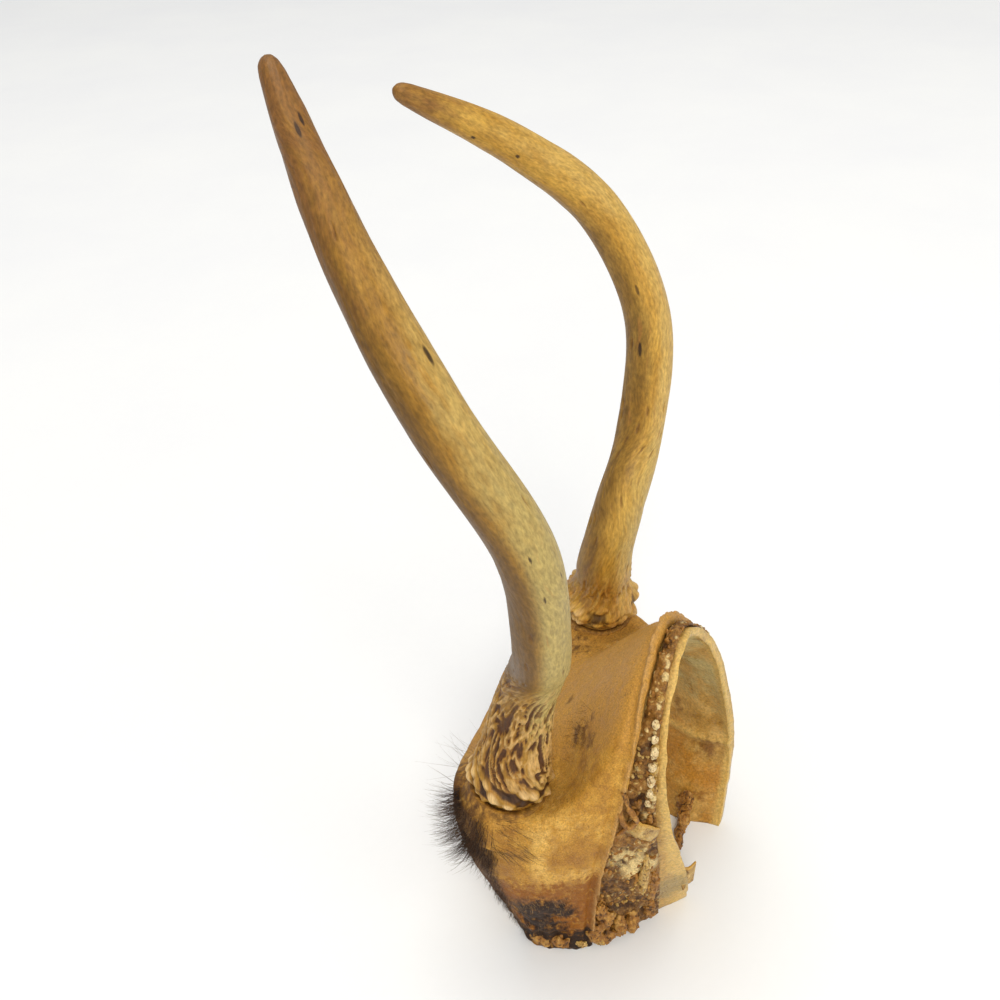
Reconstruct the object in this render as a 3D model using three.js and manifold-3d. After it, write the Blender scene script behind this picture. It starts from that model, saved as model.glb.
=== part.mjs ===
// A pair of spike antlers on a skull plate, with the dried hide still on it.
// Millimetres, +Z up. X is across the head, +Y is towards the nose.
// The skull plate stands on its flat sawn lower ends at Z = 0.
import * as THREE from 'three';
import { mergeVertices } from 'three/addons/utils/BufferGeometryUtils.js';
import Module from 'manifold-3d';

const wasm = await Module();
wasm.setup();

// ---------------------------------------------------------------- dimensions
const GAP = 0.3; // clearance between touching pieces
const HIDE_THICKNESS = 2.2;
const BONE_UNDER_HIDE = HIDE_THICKNESS + 1.2; // dried skin stands a little off the bone
const BONE_THICKNESS = 4.2; // under the hide
const RIM_THICKNESS = 2.8; // at the broken rim
const FLESH_THICKNESS = 2.6;
const PEDICLE_RADIUS = 8.6;
const PEDICLE_ROOT_RADIUS = 4.5;
const PEDICLE_DEPTH = 12;
const SKIN_HOLE_RADIUS = PEDICLE_RADIUS + 1.4;
const COLLAR_TOP_RADIUS = 11.8; // skin gathered round a pedicle
const COLLAR_FOOT_RADIUS = 13.5;
const COLLAR_DEPTH = 11;
const MOUND_TOP = 1.6; // how far the skin stays below an antler's base
const SHIFT = new THREE.Vector3(-0.45, -1.7, 0); // puts the middle of the box at X = Y = 0

// Ends of the parts of the skin and skull, from the front edge (0) to the rim (1).
const HIDE_END = 0.75;
const FLESH_START = 0.765;
const FLESH_END = 0.94;
// Steps across and along each sheet, and its span from front to rim.
const HIDE_GRID = [32, 12, [0, HIDE_END]];
const FLESH_GRID = [32, 3, [FLESH_START, FLESH_END]];
const BONE_GRID = [32, 16, [0, 1]];

// Antler beams: centre line from the coronet to the tip.
const LEFT_BEAM = [
  [-37.4, 3.6, 66.6], [-36, 1.9, 79], [-33.6, -0.6, 97], [-36.8, -5.2, 113],
  [-48, -10, 130], [-58.7, -9.8, 169], [-63, 6.3, 201], [-50.1, 28.5, 227], [-24.9, 55.4, 257],
];
const RIGHT_BEAM = [
  [38.2, -2.9, 72], [35.8, -4.3, 85], [33.2, -6.1, 100], [37, -8.6, 115],
  [48, -11.2, 132.5], [59.1, -9.8, 168], [63.8, 6.3, 196.5], [49.9, 26.5, 218], [23.4, 49.4, 238.7],
];
// Beam radius at fractions of the length, from the coronet to the tip.
const BEAM_RADII = [
  [0, 10], [0.018, 11.4], [0.045, 10.4], [0.08, 9.1], [0.15, 7.8], [0.3, 7.1],
  [0.5, 6.8], [0.7, 6.45], [0.85, 5.05], [0.94, 3.7], [0.985, 2.7], [1, 1.2],
];
const BEAM_SIDES = 24;
const BEAM_RINGS = 26;
const CORONET_KNOBS = 11;
const KNOB_HEIGHT = 0.9;

// Lines across the head, from the left foot over the crown to the right foot.
const FRONT_EDGE = [
  [-37, 1.6, 0], [-43, 6.6, 22], [-46, 13, 42], [-41, 19.5, 59], [-19, 23, 56],
  [0, 24, 51], [19, 23, 56], [42, 17, 60], [47, 14, 43], [43, 14, 22], [38, 14, 0],
];
const CORONET_LINE = [
  [-42, -5, 0], [-46, -4, 22], [-49.5, 0, 44], [-47, 3, 60], [-20, 0, 67],
  [0, -1, 68], [20, -2, 68], [48, -3, 63], [50, -4, 44], [44, -3, 22], [39, -2, 0],
];
const CROWN_LINE = [
  [-40.5, -14, 0], [-42.5, -15, 25], [-45, -16, 52], [-40, -17, 77], [-20, -17, 87],
  [0, -17, 87], [18, -18, 82], [37, -20, 69], [43, -22, 46], [41, -20, 23], [36, -20, 0],
];
const HIDE_EDGE = [
  [-36.6, -22, 0], [-38, -24, 32], [-37.5, -29, 66], [-32, -31.5, 90], [-17, -31.5, 105],
  [-2, -32, 106.5], [12, -35, 96], [26, -40, 73], [33, -42, 48], [32, -39, 22], [26, -38, 0],
];
const BONE_RIM = [
  [-11, -47, 0], [-19, -46.4, 24], [-29.5, -42, 56], [-30, -39, 87], [-15, -38.5, 104.5],
  [0, -39.5, 104.5], [12, -44.3, 91], [23, -50.5, 58], [28.5, -53, 31], [26, -52.9, 12], [22.8, -52.5, 0],
];

// ------------------------------------------------------------------- helpers
const lerp = THREE.MathUtils.lerp;
const smooth = THREE.MathUtils.smoothstep;
const fade = (x, near, far) => 1 - smooth(x, near, far);
const vectors = (rows) => rows.map((row) => new THREE.Vector3(...row));
const curve = (rows) => new THREE.CatmullRomCurve3(vectors(rows));

// Smooth lumps between -1 and 1, about `size` millimetres apart.
function lumps(p, size, seed = 0) {
  const k = (2 * Math.PI) / size;
  const first = Math.sin(k * (p.x + 0.6 * p.y) + seed) * Math.sin(k * (p.z - 0.5 * p.x) + 2 * seed);
  const second = Math.sin(k * (0.7 * p.z + 0.9 * p.y) + 3 * seed);
  return 0.5 * (first + second);
}

// Height of a graph given by [position, value] pairs.
function graph(pairs, x) {
  for (let i = 1; i < pairs.length; i += 1) {
    const [x0, y0] = pairs[i - 1];
    const [x1, y1] = pairs[i];
    if (x <= x1) return lerp(y0, y1, smooth(x, x0, x1) * 0.4 + ((x - x0) / (x1 - x0)) * 0.6);
  }
  return pairs[pairs.length - 1][1];
}

// Moves every vertex of a three.js shape with a rule and closes its seams.
function shaped(geometry, rule) {
  const plain = geometry.clone();
  plain.deleteAttribute('normal');
  plain.deleteAttribute('uv');
  const position = plain.attributes.position;
  for (let i = 0; i < position.count; i += 1) {
    const p = new THREE.Vector3().fromBufferAttribute(position, i);
    const q = rule(p);
    position.setXYZ(i, q.x, q.y, q.z);
  }
  return mergeVertices(plain, 1e-3);
}

function solid(geometry) {
  const mesh = new wasm.Mesh({
    numProp: 3,
    vertProperties: Float32Array.from(geometry.attributes.position.array),
    triVerts: Uint32Array.from(geometry.index.array),
  });
  return new wasm.Manifold(mesh);
}

function toGeometry(manifold) {
  const mesh = manifold.getMesh();
  const geometry = new THREE.BufferGeometry();
  geometry.setAttribute('position', new THREE.BufferAttribute(mesh.vertProperties, 3));
  geometry.setIndex(new THREE.BufferAttribute(mesh.triVerts, 1));
  return geometry;
}

function largest(manifold) {
  return manifold.decompose().sort((a, b) => b.volume() - a.volume())[0];
}

// ------------------------------------------------------------------- antlers
function antler(rows, handed) {
  const line = curve(rows);
  line.arcLengthDivisions = 800;
  const frames = line.computeFrenetFrames(400, false);
  const tube = new THREE.CylinderGeometry(1, 1, 1, BEAM_SIDES, BEAM_RINGS);
  return shaped(tube, (p) => {
    const t = Math.pow(p.y + 0.5, 1.35);
    const around = Math.atan2(p.z, p.x);
    const reach = Math.hypot(p.x, p.z);
    const centre = line.getPointAt(t);
    const k = Math.round(t * 400);
    const radius = graph(BEAM_RADII, t);
    const knobs = Math.exp(-(((t - 0.02) / 0.018) ** 2));
    const ridges = fade(t, 0.05, 0.18) * 0.45;
    const knob = KNOB_HEIGHT * knobs * Math.sin(CORONET_KNOBS * around + handed);
    const ridge = ridges * Math.sin(9 * around + 2.2 * Math.sin(60 * t));
    const r = reach * (radius + knob + ridge);
    return centre
      .addScaledVector(frames.normals[k], handed * Math.cos(around) * r)
      .addScaledVector(frames.binormals[k], -handed * Math.sin(around) * r);
  });
}

// --------------------------------------------------------- skin and skull cap
const acrossLines = [FRONT_EDGE, CORONET_LINE, CROWN_LINE, HIDE_EDGE, BONE_RIM].map(curve);

function pedicle(rows) {
  const [base, next] = vectors(rows);
  return { base, axis: next.clone().sub(base).normalize() };
}
const pedicles = [pedicle(LEFT_BEAM), pedicle(RIGHT_BEAM)];

// The skin stands up as a mound around each pedicle.
function mound(p) {
  for (const { base, axis } of pedicles) {
    const from = p.clone().sub(base);
    const height = from.dot(axis);
    const away = from.addScaledVector(axis, -height).length();
    const pull = fade(away, 9, 28) * smooth(height, -15, -3);
    p.addScaledVector(axis, pull * (-MOUND_TOP - height));
  }
  return p;
}

// Point of the head's outside: u from the left foot to the right, s from front to rim.
function outside(u, s) {
  const across = acrossLines.map((line) => line.getPoint(THREE.MathUtils.clamp(u, 0, 1)));
  return mound(new THREE.CatmullRomCurve3(across).getPoint(THREE.MathUtils.clamp(s, 0, 1)));
}

// Direction out of the head there.
function outward(u, s) {
  const step = 0.012;
  const du = outside(u + step, s).sub(outside(u - step, s));
  const ds = outside(u, s + step).sub(outside(u, s - step));
  return ds.cross(du).normalize();
}

// A closed sheet over the head. `upper` and `lower` give its two faces as
// distances from the head's outside.
function sheet(across, along, span, upper, lower, spanAcross = [0, 1]) {
  const slab = new THREE.BoxGeometry(1, 1, 1, across, along, 1);
  return shaped(slab, (p) => {
    const u = lerp(spanAcross[0], spanAcross[1], p.x + 0.5);
    const s = lerp(span[1], span[0], p.y + 0.5);
    const normal = outward(u, s);
    const base = outside(u, s);
    normal.z *= smooth(base.z, 0, 14);
    normal.normalize();
    const distance = p.z > 0 ? upper(u, s, base) : lower(u, s, base);
    const q = base.addScaledVector(normal, distance);
    q.z = u < 1e-6 || u > 1 - 1e-6 ? 0 : Math.max(q.z, 0.4);
    return q;
  });
}

const underHide = (s) => lerp(BONE_UNDER_HIDE, 0.2, smooth(s, HIDE_END, 1));
const boneDepth = (s) => lerp(BONE_THICKNESS, RIM_THICKNESS, smooth(s, 0.5, 1));

// A round post on a pedicle's axis; heights are measured from the antler's base.
function post({ base, axis }, top, bottom, from, to) {
  const geometry = new THREE.CylinderGeometry(top, bottom, to - from, 16);
  geometry.translate(0, (from + to) / 2, 0);
  const turn = new THREE.Quaternion().setFromUnitVectors(new THREE.Vector3(0, 1, 0), axis);
  geometry.applyQuaternion(turn);
  geometry.translate(base.x, base.y, base.z);
  return solid(shaped(geometry, (p) => p));
}

function skullPlate() {
  const plate = sheet(
    ...BONE_GRID,
    (u, s) => -underHide(s) - 0.15,
    (u, s, p) => -underHide(s) - boneDepth(s) - 0.5 * lumps(p, 19, 1),
  );
  const joined = pedicles.reduce(
    (whole, one) => whole.add(post(one, PEDICLE_RADIUS, PEDICLE_ROOT_RADIUS, -PEDICLE_DEPTH, -GAP)),
    solid(plate),
  );
  return largest(joined);
}

function hide() {
  const skin = sheet(
    ...HIDE_GRID,
    (u, s, p) => 0.25 * lumps(p, 16, 2) + 0.5 * smooth(s, 0.7, HIDE_END),
    () => -HIDE_THICKNESS,
  );
  const bone = sheet(...BONE_GRID, (u, s) => -underHide(s) + GAP, (u, s) => -underHide(s) - boneDepth(s));
  const collars = pedicles.reduce(
    (whole, one) => whole.add(post(one, COLLAR_TOP_RADIUS, COLLAR_FOOT_RADIUS, -COLLAR_DEPTH, -1)),
    solid(skin),
  );
  const pierced = pedicles.reduce(
    (whole, one) => whole.subtract(post(one, SKIN_HOLE_RADIUS, PEDICLE_ROOT_RADIUS + 1.5, -PEDICLE_DEPTH - 2, 4)),
    collars.subtract(solid(bone)),
  );
  return largest(pierced);
}

function driedFlesh() {
  const strip = sheet(
    ...FLESH_GRID,
    (u, s, p) => {
      const crumbs = 0.8 * lumps(p, 6.3, 3) + 0.5 * lumps(p, 3.7, 5);
      return GAP - underHide(s) + FLESH_THICKNESS * 0.8 + 0.6 * crumbs;
    },
    (u, s) => GAP - underHide(s),
  );
  return solid(strip);
}

// ------------------------------------------------------------------ fur tuft
// Locks of hair on the skin in front of the left coronet, on a thin root of felted hair.
const TUFT_SPAN_U = [0.16, 0.33];
const TUFT_SPAN_S = [0.005, 0.12];
const LOCKS = 11;
const LOCK_LENGTH = 7.5;
const LOCK_RADIUS = 1.15;
const CORONET_CLEARANCE = 13;

function lock(i) {
  const u = lerp(TUFT_SPAN_U[0] + 0.012, TUFT_SPAN_U[1] - 0.012, (i + 0.5) / LOCKS);
  const s = lerp(TUFT_SPAN_S[0] + 0.03, TUFT_SPAN_S[1] - 0.03, (i * 0.618) % 1);
  const root = outside(u, s);
  const normal = outward(u, s);
  const forward = outside(u, s - 0.05).sub(root).normalize();
  const droop = new THREE.Vector3(0, 0, lerp(-0.9, 0.2, (i + 0.5) / LOCKS));
  const heading = normal.clone().multiplyScalar(0.55).addScaledVector(forward, 0.6).add(droop);
  heading.normalize();
  const length = LOCK_LENGTH * lerp(0.75, 1.1, (i * 0.382) % 1);
  const cone = new THREE.CylinderGeometry(0.12, LOCK_RADIUS, length, 5, 2);
  cone.translate(0, length / 2, 0);
  const turn = new THREE.Quaternion().setFromUnitVectors(new THREE.Vector3(0, 1, 0), heading);
  return solid(shaped(cone, (p) => {
    const bend = (p.y / length) ** 2 * 2.4;
    return p.clone().applyQuaternion(turn).add(root).addScaledVector(normal, 1.1 - bend * 0.5);
  }));
}

function furTuft() {
  const felt = sheet(9, 3, TUFT_SPAN_S, () => 2.1, () => 0.7, TUFT_SPAN_U);
  const room = sheet(12, 6, [0, 0.32], () => 0.7, () => -7, [0.08, 0.38]);
  const tuft = Array.from({ length: LOCKS }, (_, i) => lock(i)).reduce(
    (whole, one) => whole.add(one),
    solid(felt),
  );
  const trimmed = tuft
    .subtract(solid(room))
    .subtract(post(pedicles[0], CORONET_CLEARANCE, CORONET_CLEARANCE, -1.2, 30))
    .subtract(post(pedicles[0], COLLAR_TOP_RADIUS + GAP, COLLAR_FOOT_RADIUS + GAP, -COLLAR_DEPTH - 0.5, -0.7));
  return largest(trimmed);
}

// --------------------------------------------------------------------- build
const FINISHES = {
  antler: { color: 0xa8823f, roughness: 0.55, metalness: 0 },
  bone: { color: 0xcdb37a, roughness: 0.6, metalness: 0 },
  hide: { color: 0xb98a4b, roughness: 0.75, metalness: 0 },
  flesh: { color: 0x6b4522, roughness: 0.8, metalness: 0 },
  fur: { color: 0x2b1d12, roughness: 0.9, metalness: 0 },
};

const object = new THREE.Group();
object.name = 'deer_spike_antlers_on_skull_plate';

function addPiece(name, finish, geometry) {
  geometry.translate(SHIFT.x, SHIFT.y, SHIFT.z);
  geometry.computeVertexNormals();
  const material = new THREE.MeshStandardMaterial({ ...FINISHES[finish], name: finish });
  const mesh = new THREE.Mesh(geometry, material);
  mesh.name = name;
  object.add(mesh);
}

addPiece('left_antler', 'antler', antler(LEFT_BEAM, 1));
addPiece('right_antler', 'antler', antler(RIGHT_BEAM, 1));
const bone = skullPlate();
addPiece('skull_plate', 'bone', toGeometry(bone));
const skin = hide();
addPiece('hide', 'hide', toGeometry(skin));
addPiece('dried_flesh', 'flesh', toGeometry(driedFlesh()));
addPiece('fur_tuft', 'fur', toGeometry(furTuft()));

export default object;
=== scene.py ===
"""Two spike antlers on a sawn skull plate with dried hide, standing on a pale floor.

The builders work in millimetres in a design frame: X across the head, +Y towards the nose,
+Z up, with the plate's sawn lower ends on Z = 0. ``to_metres`` puts their points in the row frame.
"""

import logging
import math
from dataclasses import dataclass, replace
from enum import Enum
from functools import cache

import bmesh
import bpy
import numpy as np
from mathutils import Euler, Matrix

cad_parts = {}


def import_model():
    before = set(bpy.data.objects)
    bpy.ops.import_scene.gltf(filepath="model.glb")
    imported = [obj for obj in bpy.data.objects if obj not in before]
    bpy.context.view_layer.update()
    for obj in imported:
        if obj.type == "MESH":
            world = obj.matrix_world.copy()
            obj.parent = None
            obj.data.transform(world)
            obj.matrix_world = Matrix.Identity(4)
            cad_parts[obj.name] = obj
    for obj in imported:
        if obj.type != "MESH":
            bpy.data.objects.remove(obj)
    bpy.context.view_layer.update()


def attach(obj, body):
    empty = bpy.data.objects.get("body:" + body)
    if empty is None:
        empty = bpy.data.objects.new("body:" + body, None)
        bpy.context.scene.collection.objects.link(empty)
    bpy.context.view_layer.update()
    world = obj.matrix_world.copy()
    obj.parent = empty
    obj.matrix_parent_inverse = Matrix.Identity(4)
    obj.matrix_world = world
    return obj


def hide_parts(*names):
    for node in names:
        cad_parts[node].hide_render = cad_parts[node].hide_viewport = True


LOG = logging.getLogger("antlers")
Array = np.ndarray
Colour = tuple[float, float, float]
Point = tuple[float, float, float]
Pair = tuple[float, float]
Piece = bpy.types.Object
Node = bpy.types.Node
Socket = bpy.types.NodeSocket
Tree = bpy.types.NodeTree

MM = 0.001
SHIFT = np.array([-0.45, -1.7, 0.0])
FORWARD = np.array([0.0, 1.0, 0.0])
FULL_TURN = 2 * math.pi


class Slot(Enum):
    """Material slots of the record, one to each CAD node."""

    LEFT_ANTLER = "left_antler"
    RIGHT_ANTLER = "right_antler"
    SKULL = "skull_plate"
    HIDE = "hide"
    FLESH = "dried_flesh"
    FUR = "fur_tuft"


# ---------------------------------------------------------------------- helpers
def rgb(code: str) -> Colour:
    """Turns six hex digits of sRGB into three channels of linear light."""
    values = [int(code[i : i + 2], 16) / 255 for i in (0, 2, 4)]
    return tuple(v / 12.92 if v <= 0.04045 else ((v + 0.055) / 1.055) ** 2.4 for v in values)


def to_metres(points: Array) -> Array:
    """Moves design points in millimetres to the row frame in metres."""
    return (np.asarray(points, float) + SHIFT) * MM


def ramp(x: Array, low: float, high: float) -> Array:
    """Smooth step from 0 at low to 1 at high; low may be the larger."""
    t = np.clip((np.asarray(x, float) - low) / (high - low), 0.0, 1.0)
    return t * t * (3 - 2 * t)


def bell(x: Array, middle: float, width: float) -> Array:
    """1 at the middle, falling off over the width on both sides."""
    return np.exp(-(((x - middle) / width) ** 2))


def near(points: Array, centre: Point, radius: float) -> Array:
    """1 at a design point, fading to 0 at the radius."""
    distance = np.linalg.norm(points - np.array(centre), axis=-1)
    return ramp(distance, radius, radius * 0.25)


def unit(vectors: Array) -> Array:
    """Vectors with length 1."""
    return vectors / np.maximum(np.linalg.norm(vectors, axis=-1, keepdims=True), 1e-9)


def stand(points: Array) -> Array:
    """Keeps points on or above the floor."""
    points[..., 2] = np.maximum(points[..., 2], 0.0)
    return points


def round_angles(sides: int) -> Array:
    """Evenly spaced angles of a full turn."""
    return np.linspace(0, FULL_TURN, sides, endpoint=False)


def directions(sides: int, side: Array, front: Array) -> Array:
    """Directions round one axis or several, from two vectors across each."""
    angle = round_angles(sides)[:, None]
    return np.cos(angle) * side[..., None, :] + np.sin(angle) * front[..., None, :]


def grid_normals(grid: Array) -> Array:
    """Normals of a grid of points, first axis across, second along."""
    return unit(np.cross(np.gradient(grid, axis=1), np.gradient(grid, axis=0)))


def spline(points: Array, t: Array) -> Array:
    """Centripetal Catmull-Rom curve through points, evenly numbered from 0 to 1.

    Args:
        points: Control points, first axis along the curve; further axes are parallel curves.
        t: Positions from 0 to 1.

    Returns:
        Array with t's length first, then the points' other axes.
    """
    points = np.asarray(points, float)
    before = 2 * points[0] - points[1]
    after = 2 * points[-1] - points[-2]
    padded = np.concatenate([before[None], points, after[None]])
    position = np.clip(t, 0, 1) * (len(points) - 1)
    index = np.minimum(position.astype(int), len(points) - 2)
    part = (position - index).reshape((-1,) + (1,) * (points.ndim - 1))
    p = [padded[index + k] for k in range(4)]
    gaps = [np.sqrt(np.linalg.norm(p[k + 1] - p[k], axis=-1, keepdims=True)) for k in range(3)]
    d0, d1, d2 = (np.maximum(gap, 1e-4) for gap in gaps)
    start = ((p[1] - p[0]) / d0 - (p[2] - p[0]) / (d0 + d1) + (p[2] - p[1]) / d1) * d1
    end = ((p[2] - p[1]) / d1 - (p[3] - p[1]) / (d1 + d2) + (p[3] - p[2]) / d2) * d1
    cubic = 2 * p[1] - 2 * p[2] + start + end
    square = -3 * p[1] + 3 * p[2] - 2 * start - end
    return p[1] + start * part + square * part**2 + cubic * part**3


class Noise:
    """Seeded noise on arrays of points, the same on every run."""

    WORD = 0xFFFFFFFF
    CELL_FACTORS = (374761393, 668265263, 1440662683)
    SEED_FACTOR = 1274126177
    MIXERS = (1103515245, 73244475)
    STEEPNESS = 1.6
    FAR = 9.0

    @classmethod
    def _hash(cls, cell: Array, seed: int) -> Array:
        """A number from 0 to 1 for each cell.

        Args:
            cell: Whole numbers, last axis 3.
            seed: Which noise.

        Returns:
            One value to a cell.
        """
        mixed = sum(cell[..., k] * factor for k, factor in enumerate(cls.CELL_FACTORS))
        mixed = (mixed + seed * cls.SEED_FACTOR) & cls.WORD
        for shift, mixer in zip((13, 15), cls.MIXERS):
            mixed = ((mixed ^ (mixed >> shift)) * mixer) & cls.WORD
        return ((mixed ^ (mixed >> 16)) & 0xFFFF) / 65535.0

    @classmethod
    def value(cls, points: Array, size: float, seed: int = 0) -> Array:
        """Smooth noise between -1 and 1.

        Args:
            points: Array of points, last axis 3.
            size: Cell size in the points' unit.
            seed: Which noise.

        Returns:
            One value to a point.
        """
        scaled = points / size
        base = np.floor(scaled).astype(np.int64)
        part = scaled - base
        part = part * part * (3 - 2 * part)
        total = np.zeros(points.shape[:-1])
        for corner in range(8):
            step = np.array([corner & 1, corner >> 1 & 1, corner >> 2 & 1])
            weight = np.prod(np.where(step == 1, part, 1 - part), axis=-1)
            total += weight * cls._hash(base + step, seed)
        return total * 2 - 1

    @classmethod
    def layered(cls, points: Array, size: float, layers: int = 3, seed: int = 0) -> Array:
        """Several layers of value noise, each half the size and strength of the last.

        Args:
            points: Array of points, last axis 3.
            size: Cell size of the first layer.
            layers: How many.
            seed: Which noise.

        Returns:
            One value between -1 and 1 to a point.
        """
        total = np.zeros(points.shape[:-1])
        for layer in range(layers):
            total += cls.value(points, size / 2**layer, seed + 7 * layer) / 2**layer
        return total / (2 - 2.0 ** (1 - layers))

    @classmethod
    def ridged(cls, points: Array, size: float, seed: int = 0) -> Array:
        """Noise with sharp crests at 1 and round valleys towards 0.

        Args:
            points: Array of points, last axis 3.
            size: Cell size.
            seed: Which noise.

        Returns:
            One value to a point.
        """
        coarse = 1 - np.abs(cls.value(points, size, seed)) * cls.STEEPNESS
        fine = 1 - np.abs(cls.value(points, size * 0.5, seed + 3)) * cls.STEEPNESS
        return np.clip(0.7 * coarse + 0.3 * fine, 0, 1)

    @classmethod
    def cells(cls, points: Array, size: float, seed: int = 0) -> tuple[Array, Array]:
        """Noise of scattered points.

        Args:
            points: Array of points, last axis 3.
            size: Cell size.
            seed: Which noise.

        Returns:
            Distance to the nearest scattered point in cell sizes, and that point's own number.
        """
        scaled = points / size
        base = np.floor(scaled).astype(np.int64)
        best = np.full(points.shape[:-1], cls.FAR)
        name = np.zeros(points.shape[:-1])
        for step in np.ndindex(3, 3, 3):
            cell = base + np.array(step) - 1
            offset = [cls._hash(cell, seed + k) for k in (1, 2, 3)]
            distance = np.linalg.norm(cell + np.stack(offset, axis=-1) - scaled, axis=-1)
            closer = distance < best
            name = np.where(closer, cls._hash(cell, seed + 4), name)
            best = np.where(closer, distance, best)
        return best, name


def put_in_scene(
    name: str, data: bpy.types.ID, place: Point = (0, 0, 0), turn: Point = (0, 0, 0)
) -> Piece:
    """Makes an object of a mesh, a light or a camera and puts it in the scene.

    Args:
        name: Its name.
        data: What it holds.
        place: Where it goes, in metres.
        turn: Euler angles in degrees.

    Returns:
        The object.
    """
    made = bpy.data.objects.new(name, data)
    made.location = place
    made.rotation_euler = [math.radians(angle) for angle in turn]
    bpy.context.scene.collection.objects.link(made)
    return made


class MeshKit:
    """Makes plain meshes in the row frame from design points."""

    @staticmethod
    def build(name: str, points: Array, faces: Array, masks: dict[str, Array]) -> Piece:
        """Makes a smooth-shaded object.

        Args:
            name: The piece's name.
            points: Design points in millimetres.
            faces: Rows of four corner numbers.
            masks: Values between 0 and 1 to a point, or texture coordinates, stored as attributes.

        Returns:
            The object, linked to the scene.
        """
        mesh = bpy.data.meshes.new(name)
        mesh.from_pydata(to_metres(points).tolist(), [], faces.tolist())
        mesh.validate()
        for label, values in masks.items():
            if np.ndim(values) == 2:
                layer = mesh.attributes.new(label, "FLOAT_VECTOR", "POINT")
                layer.data.foreach_set("vector", values.astype(np.float32).ravel())
            else:
                layer = mesh.attributes.new(label, "FLOAT", "POINT")
                layer.data.foreach_set("value", np.clip(values, 0, 1).astype(np.float32))
        mesh.polygons.foreach_set("use_smooth", np.ones(len(mesh.polygons), bool))
        mesh.update()
        return put_in_scene(name, mesh)

    @staticmethod
    def grid_faces(across: int, along: int) -> tuple[Array, Array]:
        """Numbers the points of a grid and makes its faces.

        Args:
            across, along: How many points each way.

        Returns:
            The grid of numbers, and the faces as rows of four of them.
        """
        number = np.arange(across * along).reshape(across, along)
        corners = [number[:-1, :-1], number[:-1, 1:], number[1:, 1:], number[1:, :-1]]
        return number, np.stack(corners, -1).reshape(-1, 4)

    @classmethod
    def sheet(cls, name: str, grid: Array, masks: dict[str, Array]) -> Piece:
        """An open mesh on a grid of points."""
        faces = cls.grid_faces(*grid.shape[:2])[1]
        return cls.build(name, grid.reshape(-1, 3), faces, {k: v.ravel() for k, v in masks.items()})

    @classmethod
    def shell(
        cls, name: str, outer: Array, inner: Array, masks: dict[str, tuple[Array, Array]]
    ) -> Piece:
        """A closed shell between two grids.

        Args:
            name: The piece's name.
            outer: Outside grid of points.
            inner: Inside grid of the same shape.
            masks: Outside and inside values by attribute name.

        Returns:
            The object.
        """
        number, front = cls.grid_faces(*outer.shape[:2])
        back = front[:, ::-1] + number.size
        edges = [number[:-1, 0], number[-1, :-1], number[:0:-1, -1], number[0, :0:-1]]
        ring = np.concatenate(edges)
        following = np.roll(ring, -1)
        side = np.stack([ring, following, following + number.size, ring + number.size], -1)
        points = np.concatenate([outer.reshape(-1, 3), inner.reshape(-1, 3)])
        values = {k: np.concatenate([v[0].ravel(), v[1].ravel()]) for k, v in masks.items()}
        return cls.build(name, points, np.concatenate([front, back, side]), values)

    @classmethod
    def tube(cls, name: str, rings: Array, masks: dict[str, Array]) -> Piece:
        """A tube from rings of points, closed with a face at each end.

        Args:
            name: The piece's name.
            rings: Points, first axis along, second round.
            masks: Values to a ring point by attribute name.

        Returns:
            The object.
        """
        count, sides = rings.shape[:2]
        number = np.arange(count * sides).reshape(count, sides)
        turned = np.roll(number, -1, axis=1)
        faces = np.stack([number[:-1], turned[:-1], turned[1:], number[1:]], -1).reshape(-1, 4)
        flat = {k: v.reshape(-1, 3) if v.ndim == 3 else v.ravel() for k, v in masks.items()}
        piece = cls.build(name, rings.reshape(-1, 3), faces, flat)
        work = bmesh.new()
        work.from_mesh(piece.data)
        edges = [edge for edge in work.edges if edge.is_boundary]
        bmesh.ops.holes_fill(work, edges=edges, sides=0)
        bmesh.ops.recalc_face_normals(work, faces=work.faces)
        work.to_mesh(piece.data)
        work.free()
        return piece

    @staticmethod
    def join(name: str, pieces: list[Piece]) -> Piece:
        """One object from several, keeping their attributes.

        Args:
            name: The joined piece's name.
            pieces: What to join.

        Returns:
            The object.
        """
        first = pieces[0]
        with bpy.context.temp_override(
            active_object=first, selected_editable_objects=pieces, selected_objects=pieces
        ):
            bpy.ops.object.join()
        first.name = first.data.name = name
        return first


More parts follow.
